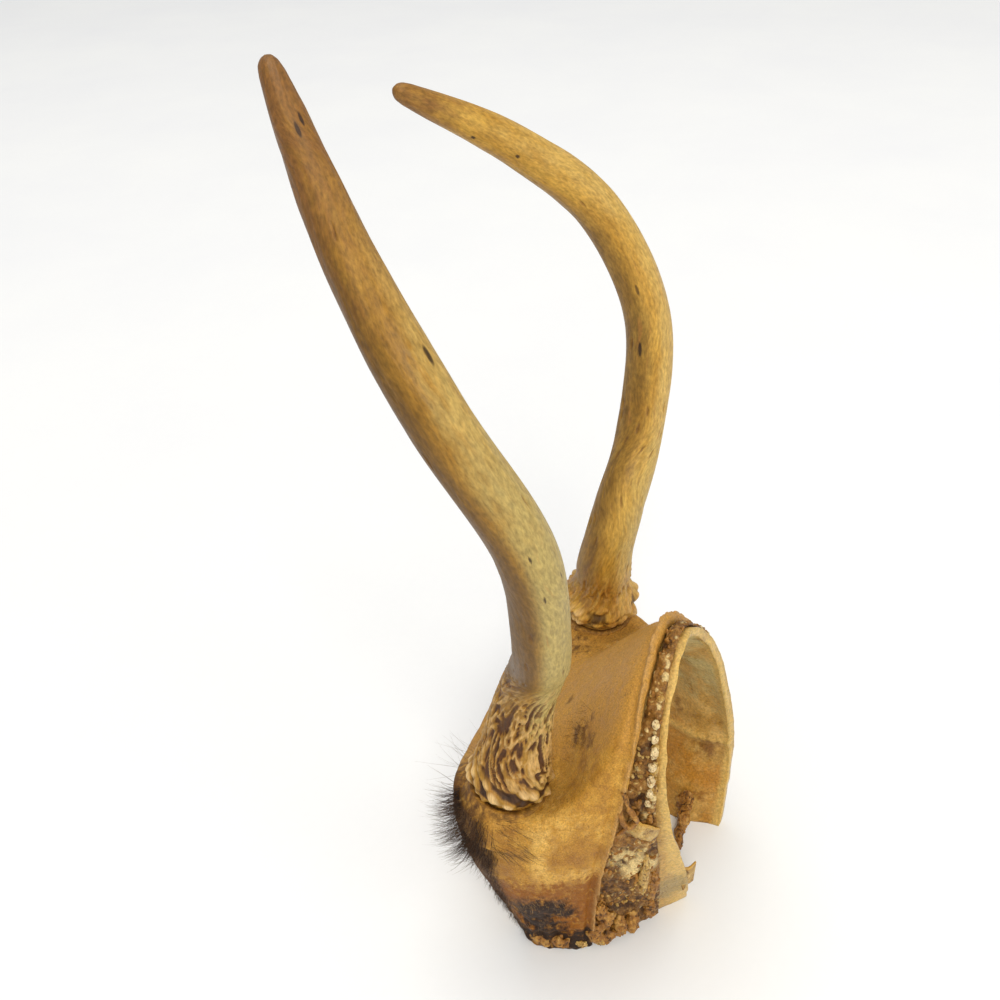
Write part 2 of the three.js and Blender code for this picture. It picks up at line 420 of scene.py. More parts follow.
# --------------------------------------------------------------------- finishes
class Nodes:
    """Fills a node tree."""

    def __init__(self, tree: Tree) -> None:
        """Takes the tree to fill."""
        self.tree = tree

    def add(self, kind: str, inputs: dict | None = None, **settings: object) -> Node:
        """Adds a node.

        Args:
            kind: Its type.
            inputs: Sockets or values by the input's name or number.
            settings: Its properties.

        Returns:
            The node.
        """
        node = self.tree.nodes.new(kind)
        for key, value in settings.items():
            setattr(node, key, value)
        for key, value in (inputs or {}).items():
            self.feed(node.inputs[key], value)
        return node

    def feed(self, target: Socket, source: Socket | float | tuple | str) -> None:
        """Connects a socket, or sets it to a value.

        Args:
            target: Input socket.
            source: Output socket, or a plain value.
        """
        if isinstance(source, Socket):
            self.tree.links.new(source, target)
        elif target.type == "RGBA":
            target.default_value = (*source, 1.0)
        else:
            target.default_value = source

    def math(self, operation: str, a: Socket | float, b: Socket | float) -> Socket:
        """The outcome of a Math node."""
        return self.add("ShaderNodeMath", {0: a, 1: b}, operation=operation).outputs[0]

    def times(self, a: Socket | float, b: Socket | float) -> Socket:
        """Product."""
        return self.math("MULTIPLY", a, b)

    def vector(self, operation: str, a: Socket, b: Socket) -> Socket:
        """The outcome of a Vector Math node."""
        inputs = {0: a, "Scale" if operation == "SCALE" else 1: b}
        return self.add("ShaderNodeVectorMath", inputs, operation=operation).outputs[0]

    def window(self, value: Socket, low: Pair, high: Pair = (0.0, 1.0)) -> Socket:
        """Maps one range to another, clamped.

        Args:
            value: What to map.
            low: Range it comes in.
            high: Range it leaves in.

        Returns:
            The mapped socket.
        """
        inputs = {"Value": value, "From Min": low[0], "From Max": low[1]}
        inputs |= {"To Min": high[0], "To Max": high[1]}
        return self.add("ShaderNodeMapRange", inputs).outputs["Result"]


class Paint(Nodes):
    """Lays down the shader nodes of one material."""

    MIDDLE = (0.3, 0.7)
    SPECULAR = 0.3
    BUMP_STRENGTH = 0.8
    GLOW_RADIUS = (0.004, 0.002, 0.001)
    GLOW_SCALE = 0.6

    def __init__(self, name: str) -> None:
        """Makes an empty material.

        Args:
            name: Its name.
        """
        self.material = bpy.data.materials.new(name)
        self.material.use_nodes = True
        super().__init__(self.material.node_tree)

    def place(self, stretch: Point, attribute: str) -> Socket:
        """Where the noises lie.

        Args:
            stretch: Scale along X, Y and Z.
            attribute: Vector attribute to go by, or nothing for object coordinates.

        Returns:
            The coordinates.
        """
        if attribute:
            named = self.add("ShaderNodeAttribute", attribute_name=attribute)
            source = named.outputs["Vector"]
        else:
            source = self.add("ShaderNodeTexCoord").outputs["Object"]
        return self.add("ShaderNodeMapping", {"Vector": source, "Scale": stretch}).outputs[0]

    def noise(self, place: Socket, scale: float, detail: float, rough: float) -> Socket:
        """A noise texture's factor."""
        inputs = {"Vector": place, "Scale": scale, "Detail": detail, "Roughness": rough}
        return self.add("ShaderNodeTexNoise", inputs).outputs["Fac"]

    def colours(self, factor: Socket, stops: list[tuple[float, Colour]]) -> Socket:
        """A colour ramp.

        Args:
            factor: Position on it.
            stops: Positions and colours.

        Returns:
            The colour.
        """
        made = self.add("ShaderNodeValToRGB", {"Fac": factor})
        elements = made.color_ramp.elements
        while len(elements) < len(stops):
            elements.new(0.5)
        for element, (position, colour) in zip(elements, stops):
            element.position = position
            element.color = (*colour, 1.0)
        return made.outputs["Color"]

    def eaten(self, name: str, noise: Socket, breakup: float) -> Socket:
        """A mesh attribute whose edge is eaten into by noise.

        Args:
            name: The attribute.
            noise: What eats into it.
            breakup: How far.

        Returns:
            The mask.
        """
        mask = self.add("ShaderNodeAttribute", attribute_name=name).outputs["Fac"]
        wobble = self.times(self.window(noise, self.MIDDLE, (-1.0, 1.0)), breakup)
        frayed = self.math("ADD", mask, self.times(wobble, self.window(mask, (0.0, 0.25))))
        return self.window(frayed, (0.1, 0.9))

    def mix(self, ground: Socket, colour: Colour, factor: Socket) -> Socket:
        """Lays a colour over the ground."""
        inputs = {"Factor": factor, 6: ground, 7: colour}
        return self.add("ShaderNodeMix", inputs, data_type="RGBA").outputs[2]

    def shade(self, ground: Socket, factor: Socket, amount: float) -> Socket:
        """Lightens and darkens the ground a little with a noise."""
        value = self.window(factor, self.MIDDLE, (1 - amount, 1 + amount))
        return self.add("ShaderNodeHueSaturation", {"Color": ground, "Value": value}).outputs[0]

    def finish(
        self, colour: Socket, rough: Socket, height: Socket, bump: float, glow: float
    ) -> bpy.types.Material:
        """Connects the shader.

        Args:
            colour: Base colour.
            rough: Roughness.
            height: Height of the bump.
            bump: Bump height in metres.
            glow: Subsurface weight.

        Returns:
            The material.
        """
        inputs = {"Strength": self.BUMP_STRENGTH, "Distance": bump, "Height": height}
        values = {
            "Normal": self.add("ShaderNodeBump", inputs).outputs["Normal"],
            "Base Color": colour,
            "Roughness": rough,
            "Specular IOR Level": self.SPECULAR,
            "Subsurface Weight": glow,
            "Subsurface Radius": self.GLOW_RADIUS,
            "Subsurface Scale": self.GLOW_SCALE,
        }
        shader = self.tree.nodes["Principled BSDF"]
        for key, value in values.items():
            self.feed(shader.inputs[key], value)
        return self.material


@dataclass(frozen=True)
class Tint:
    """A colour laid over a finish where a mesh attribute is high.

    Attributes:
        mask: Attribute name.
        code: Colour laid over, in hex.
        strength: How much of it at most.
        breakup: How far noise eats into its edges.
    """

    mask: str
    code: str
    strength: float = 1.0
    breakup: float = 0.35


@dataclass(frozen=True)
class Finish:
    """A procedural finish.

    Attributes:
        name: Material name.
        ground: Dark, middle and light colour of the ground's noise, in hex.
        tints: Colours laid over by attribute, in order.
        grain: Noise size in 1/m.
        stretch: Scale of the noise along X, Y and Z.
        speckle: Strength of small dark specks.
        bump: Bump height in metres.
        fine: Scale of the finest bump in 1/m.
        roughness: Lowest and highest roughness.
        glow: Subsurface weight.
        shade: How far the finest noise lightens and darkens the ground.
        coordinates: Vector attribute to place the noise by, or nothing for object coordinates.
        stops: Where on the noise the ground's colours lie.
        edge_scale: The noise at the tints' edges, in grains.
        speck_scale: The noise of the specks, in grains.
        speck_tone: How bright specks are beside the darkest ground.
    """

    name: str
    ground: tuple[str, str, str]
    tints: tuple[Tint, ...] = ()
    grain: float = 220.0
    stretch: Point = (1.0, 1.0, 1.0)
    speckle: float = 0.25
    bump: float = 0.0002
    fine: float = 2200.0
    roughness: Pair = (0.45, 0.7)
    glow: float = 0.0
    shade: float = 0.32
    coordinates: str = ""
    stops: Point = (0.3, 0.5, 0.7)
    edge_scale: float = 2.7
    speck_scale: float = 7.0
    speck_tone: float = 0.35

    @cache
    def build(self) -> bpy.types.Material:
        """Makes the material's nodes, once.

        Returns:
            The material.
        """
        paint = Paint(self.name)
        colours = [rgb(code) for code in self.ground]
        place = paint.place(self.stretch, self.coordinates)
        cloud = paint.noise(place, self.grain, 8.0, 0.62)
        ground = paint.colours(cloud, list(zip(self.stops, colours)))
        edges = paint.noise(place, self.grain * self.edge_scale, 6.0, 0.6)
        for tint in self.tints:
            mask = paint.eaten(tint.mask, edges, tint.breakup)
            ground = paint.mix(ground, rgb(tint.code), paint.times(mask, tint.strength))
        specks = paint.noise(place, self.grain * self.speck_scale, 3.0, 0.5)
        spots = paint.times(paint.window(specks, (0.6, 0.72)), self.speckle)
        ground = paint.mix(ground, tuple(c * self.speck_tone for c in colours[0]), spots)
        fibres = paint.noise(place, self.fine, 4.0, 0.6)
        ground = paint.shade(ground, fibres, self.shade)
        rough = paint.window(cloud, paint.MIDDLE, self.roughness)
        height = paint.math("ADD", paint.times(edges, 0.6), paint.times(fibres, 0.4))
        return paint.finish(ground, rough, height, self.bump, self.glow)


ANTLER_TINTS = (
    # pale: painted highlight on the beam's lit side; khaki: painted highlight in grey-green on the
    # lit side of the lower beam; shadow: painted shade on the side turned away.
    Tint("pale", "c1a25c", 0.85, 0.25),
    Tint("khaki", "a9965a", 0.92, 0.2),
    Tint("shadow", "634514", 0.9, 0.2),
    Tint("tip", "7a5226", 0.85, 0.3),
    Tint("rust", "b07a38", 0.75, 0.5),
    Tint("streak", "6a4620", 0.55, 0.3),
    Tint("crest", "c19b5f", 0.9, 0.2),
    Tint("slope", "94682f", 0.7, 0.25),
    Tint("groove", "4a2a10", 0.94, 0.2),
    Tint("chip", "d3b27a", 0.9, 0.2),
    Tint("slit", "2a170a", 0.9, 0.3),
)
NEAR_ANTLER = Finish(
    "near_antler",
    ("86601f", "976f27", "aa8136"),
    ANTLER_TINTS,
    grain=170.0,
    stretch=(1.0, 1.0, 0.38),
    speckle=0.18,
    bump=0.0003,
    fine=1500.0,
    roughness=(0.38, 0.6),
    glow=0.04,
    coordinates="beam",
)
FAR_ANTLER = replace(
    NEAR_ANTLER, name="far_antler", ground=("9e7326", "b48b39", "c79f49"), grain=150.0
)
BONE = Finish(
    "bone",
    ("997230", "b78f48", "cdaa66"),
    (
        Tint("olive", "c0b078", 0.9),
        Tint("amber", "ae7623", 0.85),
        Tint("edge", "cdab60", 0.9),
        Tint("blotch", "754a16", 0.85, 0.6),
        Tint("ivory", "98814f", 0.9),
    ),
    grain=150.0,
    speckle=0.3,
    bump=0.0006,
    fine=1300.0,
    roughness=(0.22, 0.5),
    glow=0.08,
)
SKIN = Finish(
    "hide",
    ("966723", "b58531", "cfa14a"),
    (
        # Painted highlight in the hide's golden tone on the middle of the left wall.
        Tint("gold_highlight", "e6bd68", 0.9),
        # Painted shade: darker tan over the crown above the fold.
        Tint("crown", "b8883c", 0.85, 0.5),
        Tint("mottle", "8c5c20", 0.42, 0.6),
        Tint("orange", "854e06", 0.97, 0.6),
        Tint("rim", "b88f56", 0.75),
        # Near-black patches round the left foot and along the left wall's lowest band.
        Tint("dark_foot", "221104", 0.98, 0.6),
        # Real stains, with the painted shade round the coronets laid in too.
        Tint("stain_and_shade", "5c3a14", 0.7, 0.8),
        # The dark hair's tone under the fur, with painted shade under the left coronet and the
        # tuft.
        Tint("fur_tone_and_shade", "523414", 0.88, 0.6),
    ),
    grain=190.0,
    speckle=0.5,
    bump=0.0005,
    fine=2100.0,
    roughness=(0.45, 0.72),
    glow=0.06,
)
FLESH = Finish(
    "dried_flesh",
    ("56370f", "8a602a", "b48b4c"),
    (
        Tint("pale", "dcc48a", 0.92, 0.5),
        # deep: painted shade in the cracks and hollows.
        Tint("deep", "3a200b", 0.9, 0.4),
        Tint("rim", "a87d45", 0.8),
    ),
    grain=420.0,
    speckle=0.5,
    bump=0.0007,
    fine=1900.0,
    roughness=(0.3, 0.7),
    glow=0.04,
)
TISSUE = Finish(
    "pale_tissue",
    ("94702f", "b99654", "d4b87a"),
    # deep: painted shade in the hollows.
    (Tint("deep", "5f3a14", 0.9, 0.5), Tint("yellow", "c0933a", 0.85)),
    grain=500.0,
    speckle=0.4,
    bump=0.0005,
    roughness=(0.3, 0.6),
    glow=0.12,
)
BEADS = replace(
    TISSUE,
    name="pale_fat",
    ground=("b99c68", "d6c092", "e9d9b2"),
    # deep: painted shade in the hollows.
    tints=(Tint("deep", "7b5526", 0.9, 0.5), Tint("yellow", "dcc58e", 0.6)),
    speckle=0.3,
    bump=0.0003,
    roughness=(0.25, 0.5),
)
LUMPS = replace(
    TISSUE,
    name="brown_tissue",
    ground=("6a4317", "94652a", "bd8d45"),
    # deep: painted shade in the hollows.
    tints=(Tint("deep", "341c08", 0.9, 0.5), Tint("yellow", "c69b52", 0.6)),
    grain=450.0,
    speckle=0.5,
    glow=0.05,
)
HAIR = Finish(
    "dark_hair",
    ("1a0f07", "382312", "5f3f22"),
    grain=600.0,
    speckle=0.1,
    bump=0.00002,
    roughness=(0.4, 0.6),
)
PALE_HAIR = replace(
    HAIR,
    name="tan_hair",
    ground=("a07a45", "c09a5f", "dcbf88"),
    grain=700.0,
    roughness=(0.45, 0.65),
)
FLOOR = Finish(
    "floor",
    ("eef2fa", "f0f4fb", "f2f6fc"),
    grain=6.0,
    speckle=0.0,
    bump=0.00002,
    fine=300.0,
    roughness=(0.8, 0.85),
    shade=0.004,
)


def enlist(piece: Piece, slot: Slot, finish: Finish | None, *nodes: str) -> None:
    """Gives a piece its finish and its body, and reports it.

    Args:
        piece: The piece.
        slot: Its material slot; not used.
        finish: Its finish, or nothing if it has its material.
        nodes: The CAD nodes it stands for.
    """
    if finish is not None:
        piece.data.materials.clear()
        piece.data.materials.append(finish.build())
    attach(piece, "root")
    if nodes:
        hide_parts(*nodes)
    LOG.info("%s: %d faces", piece.name, len(piece.data.polygons))


# ---------------------------------------------------------------------- antlers
@dataclass(frozen=True)
class AntlerShape:
    """One antler.

    Attributes:
        name: The piece's and the CAD node's name.
        slot: Material slot.
        finish: Its finish.
        line: Centre line from coronet to tip, in design millimetres.
        khaki: How far along from the base the grey-green painted highlight on the lit side reaches,
            and its strength.
        pale: How strong the painted highlight on the lit side is.
        shade: How dark the painted shade on the side turned away is.
        tip: How far along the tip begins to darken.
        groove_reach: Millimetres above the base where the ridges end.
        burr: Millimetres above the base where the knobs end.
        rust: How orange the base is.
        contrast: How dark the grooves and how pale the crests are.
        chips: How pale the knobs are.
        rings: Swellings and waists of the coronet as (height, half width, size in mm).
        marks: Dark slits and nicks as (design point, half length, half width in mm).
        seed: Its own noise.
    """

    name: str
    slot: Slot
    finish: Finish
    line: tuple[Point, ...]
    khaki: Pair
    pale: float
    shade: float
    tip: float
    groove_reach: float
    burr: float
    rust: float
    contrast: float
    chips: float
    rings: tuple[Point, ...]
    marks: tuple[tuple[Point, float, float], ...]
    seed: int

    def footing(self) -> tuple[Array, Array]:
        """The middle of its base and the direction it leaves in."""
        base = np.array(self.line[0])
        return base, unit(np.array(self.line[1]) - base)

    def spokes(self, points: Array) -> tuple[Array, Array, Array]:
        """Where points lie about its base's axis.

        Args:
            points: Design points.

        Returns:
            Heights above the base, vectors out from the axis, and their lengths.
        """
        base, axis = self.footing()
        height = ((points - base) @ axis)[..., None]
        spoke = points - base - height * axis
        return height, spoke, np.linalg.norm(spoke, axis=-1, keepdims=True)

    def sleeve(self, heights: Array, radii: Array, sides: int) -> tuple[Array, Array]:
        """Rings round its base's axis.

        Args:
            heights: Each ring's height above the base.
            radii: Each ring's radius.
            sides: Points to a ring.

        Returns:
            The rings, and the directions out from the axis.
        """
        base, axis = self.footing()
        side = unit(np.cross(axis, FORWARD))
        out = directions(sides, side, np.cross(axis, side))
        return base + heights[:, None, None] * axis + radii[:, None, None] * out, out


BEAM_RADII = np.array(
    [
        [0, 10], [0.018, 11.4], [0.045, 10.4], [0.08, 9.1], [0.15, 7.8], [0.3, 7.1], [0.5, 6.8],
        [0.7, 6.45], [0.85, 5.05], [0.94, 3.7], [0.98, 2.85], [0.99, 2.4], [0.996, 1.7], [1, 0.5],
    ]
)  # fmt: skip
# Direction of the antlers' lit side: the painted highlight lies on the side facing it, the painted
# shade on the side turned away.
PAINTED_LIGHT_SIDE = np.array([0.32, -0.945, -0.03])


@dataclass
class Antler:
    """Builds one antler as a tube of fine rings with burr, ridges, grain and pits.

    Attributes:
        shape: Its sizes.
        count: Rings along it.
        sides: Points to a ring.
        crowding: How much closer the rings stand at the base.
        samples: Points that its length is measured with.
        twist: Turn of the grain in radians, and the millimetres it changes over.
        ridge_relief, knob_relief: Heights of the ridges and the knobs in mm.
        foot: Height in mm below which the coronet draws in, and by how much.
    """

    shape: AntlerShape
    count: int = 430
    sides: int = 210
    crowding: float = 1.35
    samples: int = 1600
    twist: Pair = (0.5, 18.0)
    ridge_relief: float = 1.3
    knob_relief: float = 3.1
    foot: Pair = (1.6, 0.8)

    def __post_init__(self) -> None:
        """Lays out the rings' centres and the directions from them."""
        dense = spline(np.array(self.shape.line), np.linspace(0, 1, self.samples))
        steps = np.linalg.norm(np.diff(dense, axis=0), axis=1)
        travelled = np.concatenate([[0], np.cumsum(steps)])
        wanted = np.linspace(0, 1, self.count) ** self.crowding * travelled[-1]
        centres = [np.interp(wanted, travelled, dense[:, k]) for k in range(3)]
        self.centres = np.stack(centres, -1)
        self.tangent = unit(np.gradient(self.centres, axis=0))
        side = np.zeros_like(self.tangent)
        side[0] = unit(np.cross(self.tangent[0], FORWARD))
        for i in range(1, self.count):
            carried = side[i - 1] - self.tangent[i] * np.dot(side[i - 1], self.tangent[i])
            side[i] = carried / np.linalg.norm(carried)
        self.outward = directions(self.sides, side, np.cross(self.tangent, side))
        self.height = np.repeat(wanted[:, None], self.sides, axis=1)
        self.t = self.height / travelled[-1]
        amount, period = self.twist
        spin = Noise.value(self.height[..., None] / period * [1, 0, 0], 1.0, self.shape.seed)
        turned = round_angles(self.sides) + amount * spin
        self.across = np.stack([np.cos(turned), np.sin(turned)], -1)

    def build(self) -> Piece:
        """Makes the antler.

        Returns:
            The finished piece.
        """
        radius = np.interp(self.t, BEAM_RADII[:, 0], BEAM_RADII[:, 1])
        field = self._fields()
        reach = (radius + self._relief(field))[..., None]
        rings = self.centres[:, None] + reach * self.outward
        masks = self._masks(rings, field)
        masks["beam"] = self._wrapped(radius[..., None], 1.0) * MM
        piece = MeshKit.tube(self.shape.name, rings, masks)
        enlist(piece, self.shape.slot, self.shape.finish, self.shape.name)
        return piece

    def _wrapped(self, width: float | Array, squash: float) -> Array:
        """Points round the beam that noise is placed by, drawn out along it."""
        return np.concatenate([self.across * width, (self.height / squash)[..., None]], -1)

    def _fields(self) -> dict[str, Array]:
        """Noises and bands that relief and colours share.

        Returns:
            Values to a ring point by name.
        """
        shape, seed, height = self.shape, self.shape.seed, self.height
        drawn = self._wrapped(10, 2.9)
        warp = 1.15 * Noise.value(drawn, 2.6, seed + 1) + 0.5 * Noise.value(drawn, 1.3, seed + 6)
        warped = drawn + warp[..., None]
        coarse = 1 - 2.1 * np.abs(Noise.value(warped, 1.75, seed + 2))
        thin = 1 - 1.9 * np.abs(Noise.value(warped * [1, 1, 1.4], 1.0, seed + 3))
        wander = 9 * Noise.value(self._wrapped(9, math.inf), 7.0, seed + 4)
        spots, names = Noise.cells(self._wrapped(8, 3.6), 1.9, seed + 15)
        kept = (names > 0.55 + 0.4 * ramp(height, 35, 110)) * ramp(self.t, 0.96, 0.9)
        reach = shape.groove_reach
        return {
            "ridges": np.clip(0.66 * coarse + 0.34 * thin, 0, 1),
            "knobs": Noise.cells(self._wrapped(11, 1.1), 3.9, seed + 5)[0],
            "rough": ramp(height + 1.3 * wander, reach, reach * 0.3),
            "burr": ramp(height + 0.25 * wander, shape.burr, shape.burr * 0.6),
            "grain": Noise.layered(self._wrapped(8, 9), 1.6, 3, seed + 9),
            "lumps": Noise.layered(self._wrapped(8, 2), 9.0, 2, seed + 11),
            "streaks": Noise.layered(self._wrapped(8, 14), 1.1, 3, seed + 21),
            "pits": ramp(spots, 0.36, 0.14) * kept,
        }

    def _relief(self, field: dict[str, Array]) -> Array:
        """Height of the surface over the plain beam.

        Args:
            field: Noises and bands.

        Returns:
            Millimetres to a ring point.
        """
        rough, burr, knobs = field["rough"], field["burr"], field["knobs"]
        relief = self.ridge_relief * (field["ridges"] - 0.5) * rough * (1 - burr)
        relief += burr * (1.5 - self.knob_relief * knobs)
        for level, width, size in self.shape.rings:
            relief += size * bell(self.height, level, width) * (1.05 - 0.7 * knobs)
        relief += 0.1 * field["grain"] + 0.22 * field["lumps"] * ramp(self.t, 0.0, 0.2)
        relief += 0.05 * field["streaks"] - 0.35 * field["pits"] * (1 - rough)
        return relief - self.foot[1] * ramp(self.height, self.foot[0], 0.0)

    def _marks(self, rings: Array) -> Array:
        """Where the slits and nicks are.

        Args:
            rings: The surface.

        Returns:
            Values from 0 to 1 to a ring point.
        """
        tangent = self.tangent[:, None]
        total = np.zeros(rings.shape[:2])
        for spot, length, width in self.shape.marks:
            offset = rings - np.array(spot)
            along = np.sum(offset * tangent, axis=-1)
            across = np.linalg.norm(offset - along[..., None] * tangent, axis=-1)
            inside = ramp((along / length) ** 2 + (across / width) ** 2, 1.0, 0.25)
            total = np.maximum(total, inside)
        return total

    def _masks(self, rings: Array, field: dict[str, Array]) -> dict[str, Array]:
        """Where each of the antler's colours lies.

        Args:
            rings: The surface.
            field: Noises and bands.

        Returns:
            Values to a ring point by attribute name.
        """
        shape, height, t = self.shape, self.height, self.t
        reach, strength = shape.khaki
        ridges, knobs, rough, burr = (field[k] for k in ("ridges", "knobs", "rough", "burr"))
        # How far each point turns to the lit side; the painted highlight and painted shade follow
        # it.
        facing = self.outward @ PAINTED_LIGHT_SIDE
        turned_away = facing - 0.32 * bell(t, 0.4, 0.17)
        band = ramp(t, reach, reach * 0.5) * ramp(t, 0.06, 0.16)
        ridged = rough * (1 - burr)
        valley = ramp(ridges - 0.2 * ramp(facing, 0.3, 0.9), 0.42, 0.12) * ridged
        patches = ramp(field["grain"], 0.25, 0.7) * 0.35 * ramp(t, 0.9, 0.3)
        lined = 0.22 * ramp(field["streaks"], 0.1, 0.6) + field["pits"] * (1 - rough)
        return {
            # pale: painted highlight on the lit side; khaki: painted highlight in grey-green on the
            # lit side of the lower beam; shadow: painted shade on the side turned away, reaching
            # further round mid beam.
            "pale": ramp(facing, 0.05, 0.68) * ramp(t, 0.97, 0.65) * shape.pale,
            "khaki": ramp(facing, -0.45, 0.35) * band * strength,
            "shadow": ramp(turned_away, 0.08, -0.8) * (1 - 0.8 * rough) * shape.shade,
            "tip": ramp(t, shape.tip, 1.0) * 0.95,
            "rust": np.maximum(ramp(height, 34, 10) * shape.rust, patches),
            "streak": np.clip(lined, 0, 1),
            "slope": ridged * ramp(ridges, 0.6, 0.2) * shape.contrast,
            "groove": np.maximum(valley, ramp(knobs, 0.5, 0.64) * burr) * shape.contrast,
            "crest": ridged * ramp(ridges, 0.45, 0.8) * shape.contrast,
            "chip": burr * ramp(knobs, 0.5, 0.22) * ramp(height, 0.2, 2.0) * shape.chips,
            "slit": np.maximum(self._marks(rings), 0.7 * burr * ramp(knobs, 0.56, 0.7)),
        }


LEFT_ANTLER = AntlerShape(
    "left_antler",
    Slot.LEFT_ANTLER,
    NEAR_ANTLER,
    (
        (-37.4, 3.6, 66.6), (-36, 1.9, 79), (-33.6, -0.6, 97), (-36.8, -5.2, 113), (-48, -10, 130),
        (-58.7, -9.8, 169), (-63, 6.3, 201), (-50.1, 28.5, 227), (-24.9, 55.4, 257),
    ),
    khaki=(0.8, 1.0),
    pale=0.72,
    shade=1.0,
    tip=0.6,
    groove_reach=62.0,
    burr=9.5,
    rust=0.25,
    contrast=1.0,
    chips=0.95,
    rings=((4.2, 2.3, 0.4),),
    marks=(
        ((-38.8, 42.2, 247.1), 3.0, 0.55), ((-36.0, 42.7, 248.6), 2.6, 0.5),
        ((-33, 38, 243), 1.4, 0.7), ((-61.2, 8.0, 213.6), 3.0, 0.8),
        ((-60.5, 10.5, 210.5), 2.2, 0.6), ((-46, 31, 234), 3.2, 0.7),
        ((-58.4, -17.4, 163.8), 1.8, 0.5), ((-64.8, -12.9, 171.6), 1.6, 0.4),
        ((-62.3, -15.3, 159.4), 1.5, 0.4),
    ),
    seed=11,
)  # fmt: skip
RIGHT_ANTLER = AntlerShape(
    "right_antler",
    Slot.RIGHT_ANTLER,
    FAR_ANTLER,
    (
        (38.2, -2.9, 72), (35.8, -4.3, 85), (33.2, -6.1, 100), (37, -8.6, 115), (48, -11.2, 132.5),
        (59.1, -9.8, 168), (63.8, 6.3, 196.5), (49.9, 26.5, 218), (23.4, 49.4, 238.7),
    ),
    khaki=(0.45, 0.4),
    pale=0.85,
    shade=0.72,
    tip=0.85,
    groove_reach=22.0,
    burr=10.0,
    rust=0.4,
    contrast=0.3,
    chips=0.85,
    rings=((6.6, 2.1, 1.8), (1.2, 1.6, -0.9), (14.5, 4.2, -1.3)),
    marks=(
        ((36.9, 34.1, 223.7), 0.9, 0.6), ((44.8, 24.5, 217.0), 1.0, 0.7),
        ((40, 30, 220), 0.7, 0.4), ((54.8, -7.3, 178.1), 2.2, 0.6),
        ((50.5, -9.9, 161.5), 2.6, 0.7), ((52.6, -9, 168), 1.2, 0.5),
    ),
    seed=47,
)  # fmt: skip
BOTH_ANTLERS = (LEFT_ANTLER, RIGHT_ANTLER)


# ------------------------------------------------------------------------- head
ACROSS_LINES = np.array(
    [
        [
            [-37, 1.6, 0], [-43, 6.6, 22], [-46, 13, 42], [-41, 19.5, 59], [-19, 23, 56],
            [0, 24, 51], [19, 23, 56], [42, 17, 60], [47, 14, 43], [43, 14, 22], [38, 14, 0],
        ],
        [
            [-42, -5, 0], [-46, -4, 22], [-49.5, 0, 44], [-47, 3, 60], [-20, 0, 67],
            [0, -1, 68], [20, -2, 68], [48, -3, 63], [50, -4, 44], [44, -3, 22], [39, -2, 0],
        ],
        [
            [-40.5, -14, 0], [-42.5, -15, 25], [-45, -16, 52], [-40, -17, 77], [-20, -17, 87],
            [0, -17, 87], [18, -18, 82], [37, -20, 69], [43, -22, 46], [41, -20, 23], [36, -20, 0],
        ],
        [
            [-36.6, -22, 0], [-38, -24, 32], [-37.5, -29, 66], [-32, -31.5, 90], [-17, -31.5, 105],
            [-2, -32, 106.5], [12, -35, 96], [26, -40, 73], [33, -42, 48], [32, -39, 22],
            [26, -38, 0],
        ],
        [
            [-11, -47, 0], [-19, -46.4, 24], [-29.5, -42, 56], [-30, -39, 87], [-15, -38.5, 104.5],
            [0, -39.5, 104.5], [12, -44.3, 91], [23, -50.5, 58], [28.5, -53, 31], [26, -52.9, 12],
            [22.8, -52.5, 0],
        ],
    ],
    float,
)  # fmt: skip
HIDE_END = 0.75
FLESH_SPAN = (0.757, 0.925)


@dataclass(frozen=True)
class Head:
    """The head's outside as a surface: u from the left foot to the right, s from front to rim.

    Attributes:
        spread: Distances from an antler's axis where its mound ends and where it is full.
        climb: Heights on that axis where the mound begins and where it is full.
        seat: Height of the mound's top.
        upright: Height in mm below which the normals turn level.
        depth: How far the bone's outside lies under the head's outside.
        rise: How much of that is gone at the rim.
    """

    spread: Pair = (28.0, 9.0)
    climb: Pair = (-15.0, -3.0)
    seat: float = -1.6
    upright: float = 14.0
    depth: float = 3.4
    rise: float = 3.2

    def patch(self, u: Array, s: Array) -> tuple[Array, Array]:
        """Points and outward normals on a grid.

        Args:
            u: Positions across.
            s: Positions from front to rim.

        Returns:
            Two arrays with u first, then s.
        """
        lines = np.stack([spline(line, u) for line in ACROSS_LINES])
        grid = np.moveaxis(spline(lines, s), 0, 1)
        for shape in BOTH_ANTLERS:
            height, _, away = shape.spokes(grid)
            pull = ramp(away, *self.spread) * ramp(height, *self.climb)
            grid = grid + pull * (self.seat - height) * shape.footing()[1]
        normals = grid_normals(grid)
        normals[..., 2] *= ramp(grid[..., 2], 0, self.upright)
        return grid, unit(normals)

    def under_hide(self, s: Array) -> Array:
        """Depth of the bone's outside under the head's outside."""
        return self.depth - self.rise * ramp(s, HIDE_END, 1.0)


